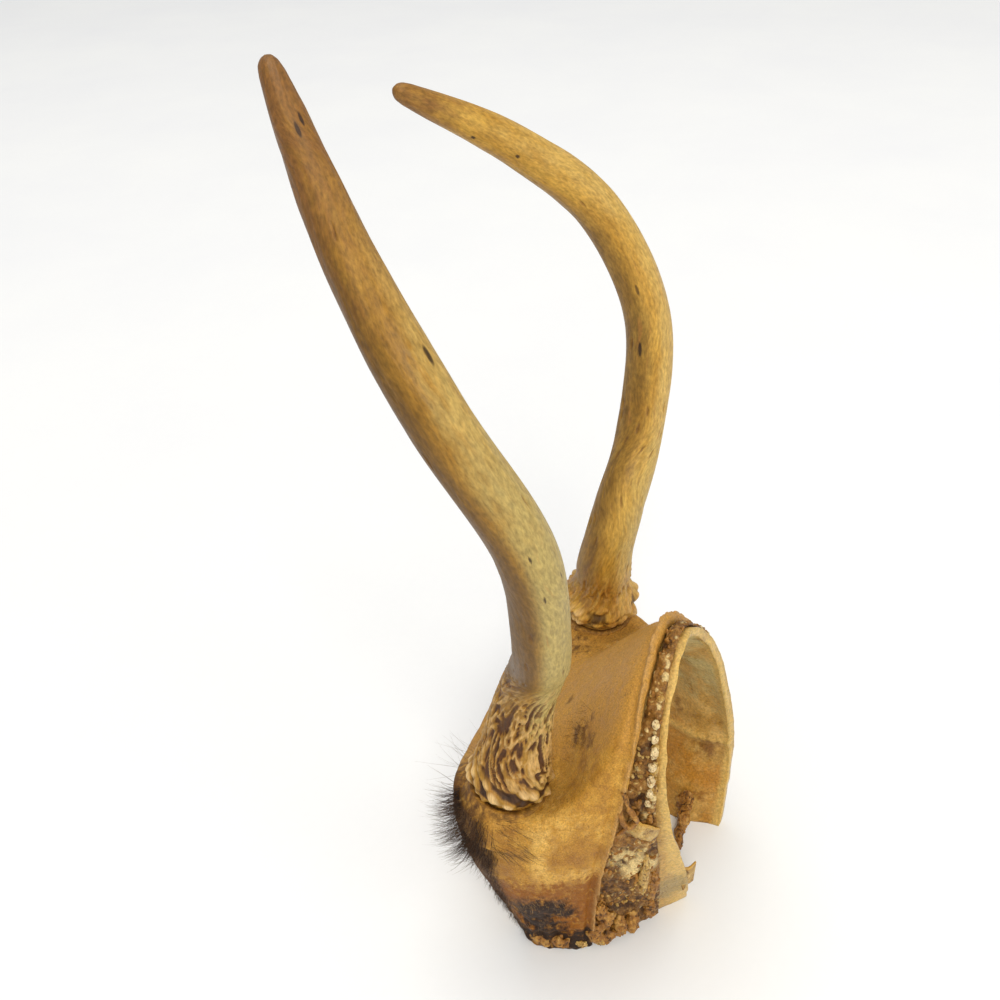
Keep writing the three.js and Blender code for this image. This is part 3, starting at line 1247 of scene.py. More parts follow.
@dataclass(frozen=True)
class SkullPlate:
    """The bone: braincase wall, crown and pedicles, broken at the rim and sawn below.

    Attributes:
        head: The surface it follows.
        cells: Points across and along.
        wall: Thickness in mm at the front.
        thinning: How much thinner it is at the rim.
        least: Thickness it never goes under.
        sink: How much deeper than the surface its outside lies.
        stub: Heights of a pedicle's lower and upper end.
        stub_radii: Its radii there.
    """

    head: Head
    cells: tuple[int, int] = (300, 145)
    wall: float = 4.2
    thinning: float = 1.6
    least: float = 0.9
    sink: float = 0.12
    stub: Pair = (-11.0, -0.35)
    stub_radii: Pair = (5.0, 8.5)

    def build(self) -> Piece:
        """Makes the bone plate with its two pedicles.

        Returns:
            The finished piece.
        """
        u, s = (np.linspace(0, 1, count) for count in self.cells)
        grid, normals = self.head.patch(u, s)
        rim = ramp(s, 0.9, 1.0)[None, :]
        chips = Noise.layered(grid, 7.0, 3, 3)
        crease = self._crease(grid)
        outer = grid - normals * (self.head.under_hide(s)[None, :, None] + self.sink)
        outer += normals * (0.25 * Noise.layered(grid, 2.6, 3, 5) * rim)[..., None]
        lumps = 0.9 * Noise.layered(grid, 17.0, 3, 8) + 0.35 * Noise.layered(grid, 4.0, 3, 9)
        thickness = (self.wall - self.thinning * ramp(s, 0.5, 1.0))[None, :]
        thickness = thickness + 0.5 * lumps * (1 - 0.4 * rim) + 0.9 * crease
        inner = outer - normals * np.maximum(thickness, self.least)[..., None]
        ragged = (rim**2 * chips * 0.9)[..., None] * unit(np.gradient(grid, axis=1))
        masks = self._masks(grid, s, crease)
        plate = MeshKit.shell("skull_plate", stand(outer + ragged), stand(inner + ragged), masks)
        pedicles = [self._pedicle(shape) for shape in BOTH_ANTLERS]
        piece = MeshKit.join("skull_plate", [plate, *pedicles])
        enlist(piece, Slot.SKULL, BONE, "skull_plate")
        return piece

    @staticmethod
    def _crease(grid: Array) -> Array:
        """Where the ledge inside the right wall is."""
        level = 34 + 4 * Noise.value(grid, 22.0, 30)
        return bell(grid[..., 2], level, 1.6) * ramp(grid[..., 0], 5, 18)

    @staticmethod
    def _masks(grid: Array, s: Array, crease: Array) -> dict[str, tuple[Array, Array]]:
        """Where each of the bone's colours lies.

        Args:
            grid: The head's outside.
            s: Positions from front to rim.
            crease: Where the ledge is.

        Returns:
            Outside and inside values by attribute name.
        """
        z = grid[..., 2]
        nothing = np.zeros_like(z)
        dirty = 0.6 * ramp(Noise.layered(grid, 9, 3, 16), 0.3, 0.7)
        blotch = np.maximum(near(grid, (26.5, -45, 31), 9.0), dirty)
        edge = ramp(s, 0.93, 0.985)[None, :] + nothing
        ivory = near(grid, (-21, -44, 14), 12.0)
        olive = ramp(z, 42, 62) * ramp(Noise.layered(grid, 14.0, 3, 12), -0.5, 0.3)
        amber = ramp(z, 50, 20) * ramp(Noise.layered(grid, 16.0, 3, 14), -0.6, 0.2)
        return {
            "olive": (nothing, olive),
            "amber": (nothing, amber),
            "edge": (edge, np.maximum(edge, 0.7 * crease)),
            "blotch": (0.4 * blotch, blotch),
            "ivory": (ivory, 0.5 * ivory),
        }

    def _pedicle(self, shape: AntlerShape) -> Piece:
        """Makes the stump that an antler stands on.

        Args:
            shape: The antler.

        Returns:
            The stump.
        """
        heights = np.linspace(*self.stub, 24)
        radii = np.interp(heights, self.stub, self.stub_radii)
        rings, out = shape.sleeve(heights, radii, 72)
        rings = rings + 0.25 * Noise.layered(rings, 3.0, 2, shape.seed)[..., None] * out
        return MeshKit.tube(f"{shape.name}_pedicle", rings, {})


SMUDGES = (
    ((-7, -6, 73), 2.4),
    ((-20, -16, 82), 1.8),
    ((-22, -13, 76), 5.0),
    ((-25.5, -17, 79), 3.0),
)


@dataclass(frozen=True)
class Hide:
    """The dried skin on the plate, with a rolled cut edge and a collar at each pedicle.

    Attributes:
        head: The surface it follows.
        across: Points across.
        rows: Points along, before and on the rolled edge.
        finer: Where the finer points begin and the coarser end.
        thickness: In mm.
        roll: Middle and width of the rolled edge along s.
        dip: Middle and width of the hollow before it.
        collar: Points up a collar's outside, down its inside, and round it.
        collar_outside: Heights up a collar's outside, and the radii there.
        collar_inside: Heights down its inside.
        collar_bore: Its inner radius.
    """

    head: Head
    across: int = 300
    rows: tuple[int, int] = (92, 38)
    finer: Pair = (0.683, 0.68)
    thickness: float = 2.2
    roll: Pair = (0.731, 0.014)
    dip: Pair = (0.692, 0.016)
    collar: tuple[int, int, int] = (42, 22, 150)
    collar_outside: tuple[Point, Point] = ((-13.0, -6.0, -0.75), (13.2, 12.9, 11.0))
    collar_inside: Pair = (-0.9, -9.0)
    collar_bore: float = 9.1

    def build(self) -> Piece:
        """Makes the hide.

        Returns:
            The finished piece.
        """
        u = np.linspace(0, 1, self.across)
        fine_start, coarse_end = self.finer
        coarse, close = self.rows
        body, edge = np.linspace(0, coarse_end, coarse), np.linspace(fine_start, HIDE_END, close)
        s = np.concatenate([body, edge])
        grid, normals = self.head.patch(u, s)
        x, _, z = np.moveaxis(grid, -1, 0)
        wandering = s[None, :] + 0.006 * Noise.value(grid, 9.0, 24)
        roll = bell(wandering, *self.roll) * ramp(z, -1, 7)
        wrinkles = Noise.ridged(grid * np.array([1, 0.6, 1]), 7.0, 21)
        fine = Noise.layered(grid, 2.4, 3, 22)
        pebbles = Noise.cells(grid, 3.0, 28)[0]
        beads = Noise.cells(grid, 2.0, 29)[0]
        height = 0.5 * Noise.layered(grid, 15.0, 2, 23) + 0.12 * fine + (1.5 + 1.1 * fine) * roll
        height -= 0.4 * bell(wandering, *self.dip)
        height += self._creased(grid) * (1.5 * (wrinkles - 0.55) + 0.7 * fine)
        height += ramp(z, 9, 1) * ramp(x, -26, -38) * (0.5 - 1.3 * (pebbles - 0.45))
        height += 0.25 * np.minimum(fine, 0) + 1.1 * roll * (0.55 - beads)
        thin = self.thickness * (1 - 0.25 * ramp(s, 0.74, HIDE_END))[None, :]
        nibble = 0.5 * ramp(s, 0.72, HIDE_END)[None, :] * Noise.layered(grid, 3.5, 2, 26)
        nibble = nibble[..., None] * unit(np.gradient(grid, axis=1))
        outer = stand(grid + normals * height[..., None] + nibble)
        inner = stand(grid - normals * (thin + 0.1 * fine)[..., None] + nibble)
        outside = {**self.tones(grid), "rim": np.clip(roll * (1.25 - 0.9 * beads), 0, 1)}
        skin = MeshKit.shell("hide", outer, inner, {k: (v, 0.5 * v) for k, v in outside.items()})
        piece = MeshKit.join("hide", [skin, *(self._collar(shape) for shape in BOTH_ANTLERS)])
        enlist(piece, Slot.HIDE, SKIN, "hide")
        return piece

    @staticmethod
    def _creased(grid: Array) -> Array:
        """Where the skin is wrinkled: the left foot, the right coronet and a smudge.

        Args:
            grid: The head's outside.

        Returns:
            Values from 0 to 1.
        """
        foot = near(grid, (-44, -9, 14), 20.0)
        coronets = near(grid, (30, -12, 74), 20.0) + 0.8 * near(grid, (22, 0, 68), 14.0)
        smudge = near(grid, (-22, -11, 74), 10.0)
        return np.clip(foot + 0.6 * coronets + 0.5 * smudge, 0, 1)

    @staticmethod
    def tones(points: Array) -> dict[str, Array]:
        """Where each colour of the skin lies.

        Args:
            points: Design points on the skin.

        Returns:
            Mask values by attribute name.
        """
        x, y, z = np.moveaxis(points, -1, 0)
        fold = np.interp(y, [-29, -22, -14, -5], [-34, -31, -25, -23])
        left = ramp(x, -26, -38)
        cloud = Noise.layered(points, 17.0, 3, 61)
        stain_and_shade = sum(near(points, centre, radius) for centre, radius in SMUDGES)
        wrinkled = near(points, (22, 1, 67), 8.0) * ramp(Noise.ridged(points, 3.0, 63), 0.5, 0.8)
        foot = near(points, (-43.8, -8, 20), 14.0) + 0.9 * ramp(z, 13, 6) * left
        bottom = foot * ramp(Noise.layered(points, 4.0, 3, 65), -0.7, 0.05)
        brow = 0.1 * z
        return {
            # Painted shade: darker tan on the crown above the fold.
            "crown": ramp(x - fold, -3.5, 2.5) * ramp(z, 30, 55),
            "mottle": np.maximum(ramp(cloud, 0.05, 0.55), left * ramp(y, -8, 4)),
            # Painted highlight: golden patch in the middle of the left wall.
            "gold_highlight": left * near(points, (-45.5, -15, 48), 26.0) * ramp(cloud, 0.5, -0.3),
            "orange": left * ramp(z + 7 * cloud, 46, 33),
            # Near-black patches round the left foot, darker towards the floor.
            "dark_foot": np.clip(1.5 * bottom, 0, 1),
            "stain_and_shade": np.clip(stain_and_shade + 0.8 * wrinkled, 0, 1),
            # Dark hair tone in front of and below the left coronet, with painted shade under it and
            # the tuft.
            "fur_tone_and_shade": left * ramp(y, brow - 2.0, brow + 3.5) * ramp(z, 70, 62),
        }

    def _collar(self, shape: AntlerShape) -> Piece:
        """Makes the skin round a pedicle.

        Args:
            shape: The antler that stands there.

        Returns:
            The collar.
        """
        up, down, sides = self.collar
        levels, widths = self.collar_outside
        rising = np.linspace(levels[0], levels[-1], up)
        heights = np.concatenate([rising, np.linspace(*self.collar_inside, down)])
        radii = [np.interp(rising, levels, widths), np.full(down, self.collar_bore)]
        rings, out = shape.sleeve(heights, np.concatenate(radii), sides)
        outside = (np.arange(up + down) < up)[:, None]
        lumps = 0.45 * Noise.layered(rings, 6.0, 3, shape.seed + 2) * outside
        rings = rings + lumps[..., None] * out
        masks = self.tones(rings)
        # Painted shade where the hide meets the coronet and all down the bore, laid in with the
        # stains.
        lip = np.where(outside, ramp(heights, -4.5, -0.8)[:, None], 1.0)
        masks["stain_and_shade"] = np.maximum(masks["stain_and_shade"], 0.7 * lip)
        return MeshKit.tube(f"{shape.name}_collar", rings, masks)


@dataclass(frozen=True)
class DriedFlesh:
    """The crumbly dark strip between the hide's cut edge and the bone's rim.

    Attributes:
        head: The surface it follows.
        cells: Points across and along.
        bulge: How high it stands at its middle.
        least: How high it stands at its edges.
        overlap: How far it reaches out of the bone.
    """

    head: Head
    cells: tuple[int, int] = (640, 64)
    bulge: float = 1.7
    least: float = 0.25
    overlap: float = 0.2

    def build(self) -> Piece:
        """Makes the strip.

        Returns:
            The finished piece.
        """
        across, along = self.cells
        u = np.linspace(0, 1, across)
        s = np.linspace(*FLESH_SPAN, along)
        grid, normals = self.head.patch(u, s)
        crumbs, crumb_name = Noise.cells(grid, 3.1, 41)
        small, small_name = Noise.cells(grid, 1.3, 44)
        rough = Noise.layered(grid, 5.0, 3, 46)
        position = np.linspace(0, 1, along)[None, :]
        body = np.sin(np.pi * np.clip(position, 0.02, 0.98)) ** 0.3
        height = self.bulge + 1.9 * (0.55 - crumbs) + 0.9 * (0.5 - small) + 0.9 * rough
        height = np.maximum(height * body, self.least)
        depth = self.head.under_hide(s)[None, :] - self.overlap
        outer = stand(grid + normals * (height - depth)[..., None])
        inner = stand(grid - normals * depth[..., None])
        z = grid[..., 2]
        beads = (crumb_name > 0.6) * ramp(crumbs, 0.6, 0.35)
        beads = beads * ramp(position, 0.45, 0.85) * ramp(z, 40, 60)
        white = near(grid, (-34, -30.5, 42), 8.0) * (small_name > 0.4)
        flecks = (small_name > 0.82) * ramp(small, 0.5, 0.3) * 0.8
        milky = near(grid, (-31, -34.5, 36), 8.5)
        amber = near(grid, (-27, -38.5, 26), 10.0)
        # Painted shade in the cracks between crumbs, where the surface lies lowest, darker towards
        # the bottom and over the hidden inside.
        cracks = np.maximum(ramp(crumbs, 0.6, 0.85), ramp(rough, -0.1, -0.6))
        deep = (0.9 * cracks + 0.45 * ramp(z, 60, 30)) * (1 - milky)
        nothing = np.zeros_like(z)
        masks = {
            "pale": (np.clip(beads + white + flecks + milky, 0, 1), nothing),
            "deep": (np.clip(deep, 0, 1), nothing + 1),
            "rim": (np.maximum(ramp(position, 0.12, 0.0), 0.8 * amber), nothing),
        }
        piece = MeshKit.shell("dried_flesh", outer, inner, masks)
        enlist(piece, Slot.FLESH, FLESH, "dried_flesh")
        return piece


# ----------------------------------------------------------------------- tissue
@dataclass(frozen=True)
class Lobe:
    """A lump of dried tissue.

    Attributes:
        centre: Design point.
        radii: Half sizes in mm.
        turn: Euler angles in degrees.
    """

    centre: Point
    radii: Point
    turn: Point = (0.0, 0.0, 0.0)


@dataclass(frozen=True)
class LobeGroup:
    """Lobes of one finish that make one piece.

    Attributes:
        name: The piece's name.
        finish: Its finish.
        lobes: Its lobes.
        roughness: How lumpy they are.
        seed: Their noise.
        cells: Points from pole to pole and round a lobe.
        pole: Angle in radians that a lobe's end ring keeps from its pole.
        grit: Depth in mm of the smallest grains.
    """

    name: str
    finish: Finish
    lobes: tuple[Lobe, ...]
    roughness: float
    seed: int
    cells: tuple[int, int] = (52, 72)
    pole: float = 0.03
    grit: float = 0.45

    def build(self) -> Piece:
        """Makes the lobes as one piece.

        Returns:
            The finished piece.
        """
        made = [self._lobe(i, lobe) for i, lobe in enumerate(self.lobes)]
        piece = MeshKit.join(self.name, made)
        enlist(piece, Slot.FLESH, self.finish)
        return piece

    def _lobe(self, index: int, lobe: Lobe) -> Piece:
        """Makes one lobe.

        Args:
            index: Its number.
            lobe: Its sizes.

        Returns:
            The lobe.
        """
        polar = np.linspace(self.pole, math.pi - self.pole, self.cells[0])[:, None]
        angle = round_angles(self.cells[1])[None, :]
        level = np.cos(polar) + 0 * angle
        ball = np.stack([np.sin(polar) * np.cos(angle), np.sin(polar) * np.sin(angle), level], -1)
        rotation = np.array(Euler([math.radians(a) for a in lobe.turn]).to_matrix())
        shape = ball * np.array(lobe.radii)
        apart = shape + 31 * index
        noise = Noise.layered(apart, max(min(lobe.radii) * 1.1, 0.6), 3, self.seed)
        grains = Noise.cells(apart, 0.9, self.seed + 1)[0]
        shape = shape * (1 + self.roughness * noise)[..., None]
        shape = shape + (self.grit * (0.5 - grains))[..., None] * ball
        points = stand(shape @ rotation.T + np.array(lobe.centre))
        # Painted shade in the dents that the noise and the grains press in.
        deep = np.maximum(ramp(noise, -0.1, -0.6), ramp(grains, 0.6, 0.9))
        masks = {"deep": deep, "yellow": ramp(noise, 0.15, 0.6)}
        return MeshKit.tube(f"{self.name}_{index}", points, masks)


TISSUE_GROUPS = (
    LobeGroup(
        "tissue_lumps",
        LUMPS,
        (
            Lobe((-36.6, -22.8, 7.0), (2.2, 2.4, 5.0), (0, 0, 10)),
            Lobe((-35.0, -25.4, 12.0), (1.8, 2.6, 4.4), (12, 0, 0)),
            Lobe((-34.6, -26.0, 4.5), (1.9, 2.6, 3.4), (0, 14, 0)),
            Lobe((-32.0, -29.4, 7.0), (1.7, 2.4, 4.2), (0, 14, 0)),
            Lobe((-36.0, -24.0, 17.5), (1.6, 2.2, 3.6)),
            Lobe((-28.6, -32.6, 5.0), (1.9, 2.3, 4.0), (0, 10, 20)),
            Lobe((-25.6, -37.4, 22.0), (1.3, 1.8, 9.0), (6, -8, 0)),
            Lobe((-24.0, -36.8, 8.0), (1.6, 2.0, 5.0), (0, -6, 0)),
            Lobe((20.4, -39.6, 7.0), (1.5, 2.6, 5.6), (10, 0, 0)),
            Lobe((16.0, -40.2, 4.6), (3.4, 2.0, 3.6), (-14, 0, 0)),
            Lobe((11.0, -39.8, 3.0), (3.4, 1.7, 2.4), (8, 0, 6)),
            Lobe((7.0, -40.4, 2.2), (2.6, 1.5, 1.7), (0, 0, -8)),
            Lobe((-41.6, -6.4, 3.0), (1.6, 3.4, 2.6), (10, 0, 0)),
            Lobe((-40.8, -12.6, 3.4), (1.5, 3.2, 2.8), (-8, 0, 0)),
        ),
        roughness=0.5,
        seed=71,
    ),
    LobeGroup(
        "ivory_tissue",
        TISSUE,
        (
            Lobe((-29.6, -35.4, 30.5), (0.9, 1.5, 12.5), (4, -9, 0)),
            Lobe((-38.9, -19.0, 2.2), (0.9, 2.2, 1.5), (20, 0, 12)),
            Lobe((-36.6, -24.6, 2.2), (0.8, 1.6, 1.2), (-14, 0, 0)),
            Lobe((-32.2, -36.4, 80.5), (0.9, 1.1, 3.0), (0, 14, 0)),
            Lobe((-31.4, -36.2, 87.0), (0.8, 1.0, 2.2), (0, 18, 0)),
            Lobe((-33.0, -37.0, 73.0), (0.8, 1.2, 1.8)),
            Lobe((-24.2, -35.4, 98.6), (0.8, 1.0, 1.7)),
        ),
        roughness=0.28,
        seed=73,
    ),
    LobeGroup(
        "bead_row",
        BEADS,
        (
            Lobe((-28.9, -35.4, 94.0), (0.9, 1.0, 1.4), (0, 30, 0)),
            Lobe((-31.0, -35.8, 90.6), (0.8, 0.9, 1.2), (0, 26, 0)),
            Lobe((-32.4, -36.1, 87.0), (0.9, 1.0, 1.8), (0, 20, 0)),
            Lobe((-33.6, -36.1, 82.8), (0.8, 1.1, 1.5), (0, 14, 0)),
            Lobe((-34.6, -36.2, 78.4), (0.9, 1.1, 1.9), (0, 8, 0)),
            Lobe((-35.0, -36.0, 73.8), (0.9, 1.1, 1.4)),
            Lobe((-34.9, -35.7, 69.6), (0.7, 0.9, 1.1)),
        ),
        roughness=0.2,
        seed=75,
    ),
)


@dataclass(frozen=True)
class Cord:
    """A tapering string of dried tissue.

    Attributes:
        line: Design points it runs through.
        radii: Radius in mm at each of them.
        cells: Points along and round.
        aside: Direction its rings start from.
        roughness: How lumpy it is.
    """

    line: tuple[Point, ...]
    radii: tuple[float, ...]
    cells: tuple[int, int] = (70, 26)
    aside: Point = (0.31, 0.9, 0.3)
    roughness: float = 0.35

    def build(self, name: str, seed: int) -> Piece:
        """Makes the cord as a closed tube.

        Args:
            name: Its name.
            seed: Its noise.

        Returns:
            The cord.
        """
        t = np.linspace(0, 1, self.cells[0])
        centres = spline(np.array(self.line), t)
        radius = np.interp(t, np.linspace(0, 1, len(self.radii)), self.radii)[:, None]
        tangent = unit(np.gradient(centres, axis=0))
        side = unit(np.cross(tangent, self.aside))
        out = directions(self.cells[1], side, np.cross(tangent, side))
        rings = centres[:, None] + radius[..., None] * out
        rough = Noise.layered(rings, 1.6, 2, seed)
        rings = rings + (self.roughness * rough * radius)[..., None] * out
        # deep: painted shade in the dents that the noise presses in.
        masks = {"deep": ramp(rough, 0.0, -0.6), "yellow": ramp(rough, 0.1, 0.7)}
        return MeshKit.tube(name, stand(rings), masks)


@dataclass(frozen=True)
class Flap:
    """A thin curled sheet of dried membrane.

    Attributes:
        top: Design points along its upper edge.
        drop: How far its lower edge lies from the upper, in design mm.
        bulge: How far its middle stands out towards -X.
        seed: Its own noise.
        cells: Points along its upper edge and down.
        thickness: In mm.
    """

    top: tuple[Point, ...]
    drop: Point
    bulge: float
    seed: int
    cells: tuple[int, int] = (60, 46)
    thickness: float = 0.5

    def build(self, name: str) -> Piece:
        """Makes the flap as a closed shell.

        Args:
            name: Its name.

        Returns:
            The flap.
        """
        u, v = (np.linspace(0, 1, count) for count in self.cells)
        down = v[None, :]
        sheet = spline(np.array(self.top), u)[:, None] + down[..., None] * np.array(self.drop)
        arch = np.sin(np.pi * u)[:, None] * np.sin(np.pi * np.clip(0.15 + 0.85 * down, 0, 1))
        sheet[..., 0] -= self.bulge * arch
        crumple = Noise.layered(sheet, 4.0, 3, self.seed)
        sheet[..., 0] -= 0.7 * crumple
        frayed = ramp(down, 0.7, 1.0) * Noise.layered(sheet, 2.2, 2, self.seed + 1)
        sheet += frayed[..., None] * 1.1
        half = 0.5 * self.thickness * grid_normals(sheet)
        lip = ramp(down, 0.16, 0.02) + 0 * crumple
        # Painted shade in the crumples' hollows, and darker towards the frayed lower edge.
        dark = np.maximum(ramp(crumple, 0.0, -0.5), 0.8 * ramp(down, 0.8, 1.0))
        masks = {"yellow": (lip, lip), "deep": (dark * (1 - lip), dark)}
        return MeshKit.shell(name, stand(sheet + half), stand(sheet - half), masks)


CORDS = (
    Cord(
        ((-37.6, -29.4, 75), (-38.4, -31.4, 70), (-38.6, -33.6, 66.5), (-37.4, -33.2, 63)),
        (0.7, 0.9, 0.8, 0.4),
    ),
    Cord(
        ((-37.2, -28.6, 70), (-39.2, -29.6, 66), (-39.4, -31.8, 63.2), (-37.8, -33.8, 64.5)),
        (0.7, 0.9, 0.8, 0.6),
    ),
    Cord(((-37.4, -33.0, 64), (-37.2, -30.6, 60), (-38.0, -28.4, 57)), (0.9, 0.8, 0.4)),
)
FLAPS = (
    Flap(
        ((-37.2, -31.6, 65.4), (-36.2, -34.6, 64.0), (-34.0, -37.4, 60.6), (-32.0, -39.2, 57.0)),
        drop=(0.8, 1.6, -8.5),
        bulge=2.4,
        seed=81,
    ),
    Flap(
        ((-16.6, -45.4, 21.4), (-14.6, -46.8, 20.0), (-12.6, -48.4, 20.6)),
        drop=(1.2, 0.4, -10.5),
        bulge=0.5,
        seed=85,
    ),
)
CORD_SEED = 90


def build_tissue() -> None:
    """Lumps, cords and flaps of dried tissue."""
    for group in TISSUE_GROUPS:
        group.build()
    cords = [cord.build(f"cord_{i}", CORD_SEED + i) for i, cord in enumerate(CORDS)]
    enlist(MeshKit.join("tissue_cords", cords), Slot.FLESH, LUMPS)
    flaps = [flap.build(f"flap_{i}") for i, flap in enumerate(FLAPS)]
    enlist(MeshKit.join("tissue_flaps", flaps), Slot.FLESH, TISSUE)


# ----------------------------------------------------------------------- growth
class Growth(Nodes):
    """A Geometry Nodes tree that scatters things on a mesh where its "grow" is high."""

    def __init__(self, name: str, sockets: dict[str, str]) -> None:
        """Makes the tree's inputs and scatters its points.

        Args:
            name: The tree's name.
            sockets: Kinds of its inputs by name, beside those that every growth has.
        """
        super().__init__(bpy.data.node_groups.new(name, "GeometryNodeTree"))
        inputs = {"Geometry": "Geometry", "Density": "Float", "Seed": "Int", **sockets}
        face = self.tree.interface
        for label, kind in {**inputs, "Material": "Material"}.items():
            face.new_socket(label, in_out="INPUT", socket_type=f"NodeSocket{kind}")
        face.new_socket("Geometry", in_out="OUTPUT", socket_type="NodeSocketGeometry")
        self.given = self.add("NodeGroupInput").outputs
        grow = self.add("GeometryNodeInputNamedAttribute", {"Name": "grow"}, data_type="FLOAT")
        spots = {
            "Mesh": self.given["Geometry"],
            "Density": self.times(grow.outputs["Attribute"], self.given["Density"]),
            "Seed": self.given["Seed"],
        }
        self.points = self.add("GeometryNodeDistributePointsOnFaces", spots).outputs

    def random(self, low: float | Point, high: float | Point, seeded: bool = True) -> Socket:
        """Random numbers or vectors.

        Args:
            low: Least.
            high: Most.
            seeded: Whether the tree's seed sets them.

        Returns:
            The random socket.
        """
        vector = isinstance(low, tuple)
        inputs = {0: low, 1: high} if vector else {2: low, 3: high}
        if seeded:
            inputs["Seed"] = self.given["Seed"]
        kind = "FLOAT_VECTOR" if vector else "FLOAT"
        return self.add("FunctionNodeRandomValue", inputs, data_type=kind).outputs[not vector]

    def put(self, thing: Socket, rotation: Socket, scale: Socket) -> Socket:
        """Puts a thing on every point and realizes it.

        Args:
            thing: Its geometry.
            rotation: Its rotation.
            scale: Its scale.

        Returns:
            The realized geometry.
        """
        inputs = {"Points": self.points["Points"], "Instance": thing}
        inputs |= {"Rotation": rotation, "Scale": scale}
        place = self.add("GeometryNodeInstanceOnPoints", inputs).outputs["Instances"]
        return self.add("GeometryNodeRealizeInstances", {"Geometry": place}).outputs[0]

    def end(self, shape: Socket) -> Tree:
        """Dresses the shape and gives it out.

        Args:
            shape: The realized geometry.

        Returns:
            The tree.
        """
        inputs = {"Geometry": shape, "Material": self.given["Material"]}
        dressed = self.add("GeometryNodeSetMaterial", inputs).outputs[0]
        self.add("NodeGroupOutput", {"Geometry": dressed})
        return self.tree


class Grower:
    """Grows things on the head with a Geometry Nodes tree and keeps them as plain meshes."""

    def __init__(self, head: Head) -> None:
        """Takes the head and makes the tree."""
        self.head = head
        self.tree = self._tree()

    def _tree(self) -> Tree:
        """Makes the tree."""
        raise NotImplementedError

    def run(self, skin: Piece, values: dict[str, object], name: str) -> Piece:
        """Evaluates the tree and replaces the skin by its result.

        Args:
            skin: Mesh to grow on; it is removed.
            values: Inputs by name.
            name: The new piece's name.

        Returns:
            The plain mesh object.
        """
        modifier = skin.modifiers.new("growth", "NODES")
        modifier.node_group = self.tree
        for item in self.tree.interface.items_tree:
            if item.item_type == "SOCKET" and item.in_out == "INPUT" and item.name in values:
                modifier[item.identifier] = values[item.name]
        bpy.context.view_layer.update()
        depsgraph = bpy.context.evaluated_depsgraph_get()
        grown = skin.evaluated_get(depsgraph)
        mesh = bpy.data.meshes.new_from_object(grown, depsgraph=depsgraph)
        mesh.name = name
        bpy.data.objects.remove(skin)
        places = np.empty((len(mesh.vertices), 3), np.float32)
        mesh.vertices.foreach_get("co", places.ravel())
        mesh.vertices.foreach_set("co", stand(places).ravel())
        mesh.update()
        return put_in_scene(name, mesh)


@dataclass(frozen=True)
class Crumbs:
    """Crumbs scattered on the dried flesh.

    Attributes:
        name: The piece's name.
        finish: Their finish.
        where: Centres and radii in design mm that they gather round.
        density: Crumbs to a square centimetre where they are thickest.
        size: Their radius in mm.
        seed: Random seed.
    """

    name: str
    finish: Finish
    where: tuple[tuple[Point, float], ...]
    density: float
    size: float
    seed: int


CRUMBS = (
    Crumbs(
        "brown_crumbs",
        LUMPS,
        (
            ((-33, -29, 25), 26.0),
            ((-30, -32, 66), 26.0),
            ((-16, -33, 98), 22.0),
            ((14, -38, 92), 24.0),
        ),
        density=16.0,
        size=0.95,
        seed=4,
    ),
    Crumbs(
        "pale_crumbs",
        TISSUE,
        (
            ((-34, -30.5, 42), 9.0),
            ((-32, -36, 78), 13.0),
            ((-31, -31, 20), 12.0),
            ((-22, -35, 99), 9.0),
        ),
        density=22.0,
        size=0.75,
        seed=6,
    ),
)


class CrumbGrower(Grower):
    """Scatters crumbs."""

    CELLS = (260, 14)
    MARGIN = 0.01
    INSET = (0.012, 0.008)
    PER_SQUARE_METRE = 1e4
    ABOVE_BONE = 1.3
    FULL_TURNS = (6.28, 6.28, 6.28)
    LEAST_SCALE = (0.4, 0.4, 0.35)
    MOST_SCALE = (1.35, 1.1, 0.9)
    LUMPINESS = 900.0

    def grow(self, crumbs: Crumbs) -> Piece:
        """Scatters one kind of crumb.

        Args:
            crumbs: What to scatter.

        Returns:
            The plain mesh object.
        """
        u = np.linspace(self.MARGIN, 1 - self.MARGIN, self.CELLS[0])
        start, end = FLESH_SPAN[0] + self.INSET[0], FLESH_SPAN[1] - self.INSET[1]
        s = np.linspace(start, end, self.CELLS[1])
        grid, normals = self.head.patch(u, s)
        grid = grid + normals * (self.ABOVE_BONE - self.head.under_hide(s))[None, :, None]
        grow = np.clip(sum(near(grid, centre, radius) for centre, radius in crumbs.where), 0, 1)
        skin = MeshKit.sheet(crumbs.name + "_skin", grid, {"grow": grow})
        values = {
            "Density": crumbs.density * self.PER_SQUARE_METRE,
            "Size": crumbs.size * MM,
            "Seed": crumbs.seed,
            "Material": crumbs.finish.build(),
        }
        return self.run(skin, values, crumbs.name)

    def _tree(self) -> Tree:
        """Makes the tree: lumpy balls of random turn and shape.

        Returns:
            The tree.
        """
        grow = Growth("scattered_crumbs", {"Size": "Float"})
        size = grow.given["Size"]
        ball = grow.add("GeometryNodeMeshIcoSphere", {"Subdivisions": 3, "Radius": size})
        turn = grow.random((0.0, 0.0, 0.0), self.FULL_TURNS)
        scale = grow.random(self.LEAST_SCALE, self.MOST_SCALE)
        real = grow.put(ball.outputs["Mesh"], turn, scale)
        spot = grow.add("GeometryNodeInputPosition").outputs[0]
        inputs = {"Vector": spot, "Scale": self.LUMPINESS, "Detail": 3.0}
        noise = grow.add("ShaderNodeTexNoise", inputs).outputs["Fac"]
        swell = grow.times(grow.math("SUBTRACT", noise, 0.5), size)
        normal = grow.add("GeometryNodeInputNormal").outputs[0]
        inputs = {"Geometry": real, "Offset": grow.vector("SCALE", normal, swell)}
        moved = grow.add("GeometryNodeSetPosition", inputs).outputs[0]
        return grow.end(grow.add("GeometryNodeSetShadeSmooth", {"Geometry": moved}).outputs[0])


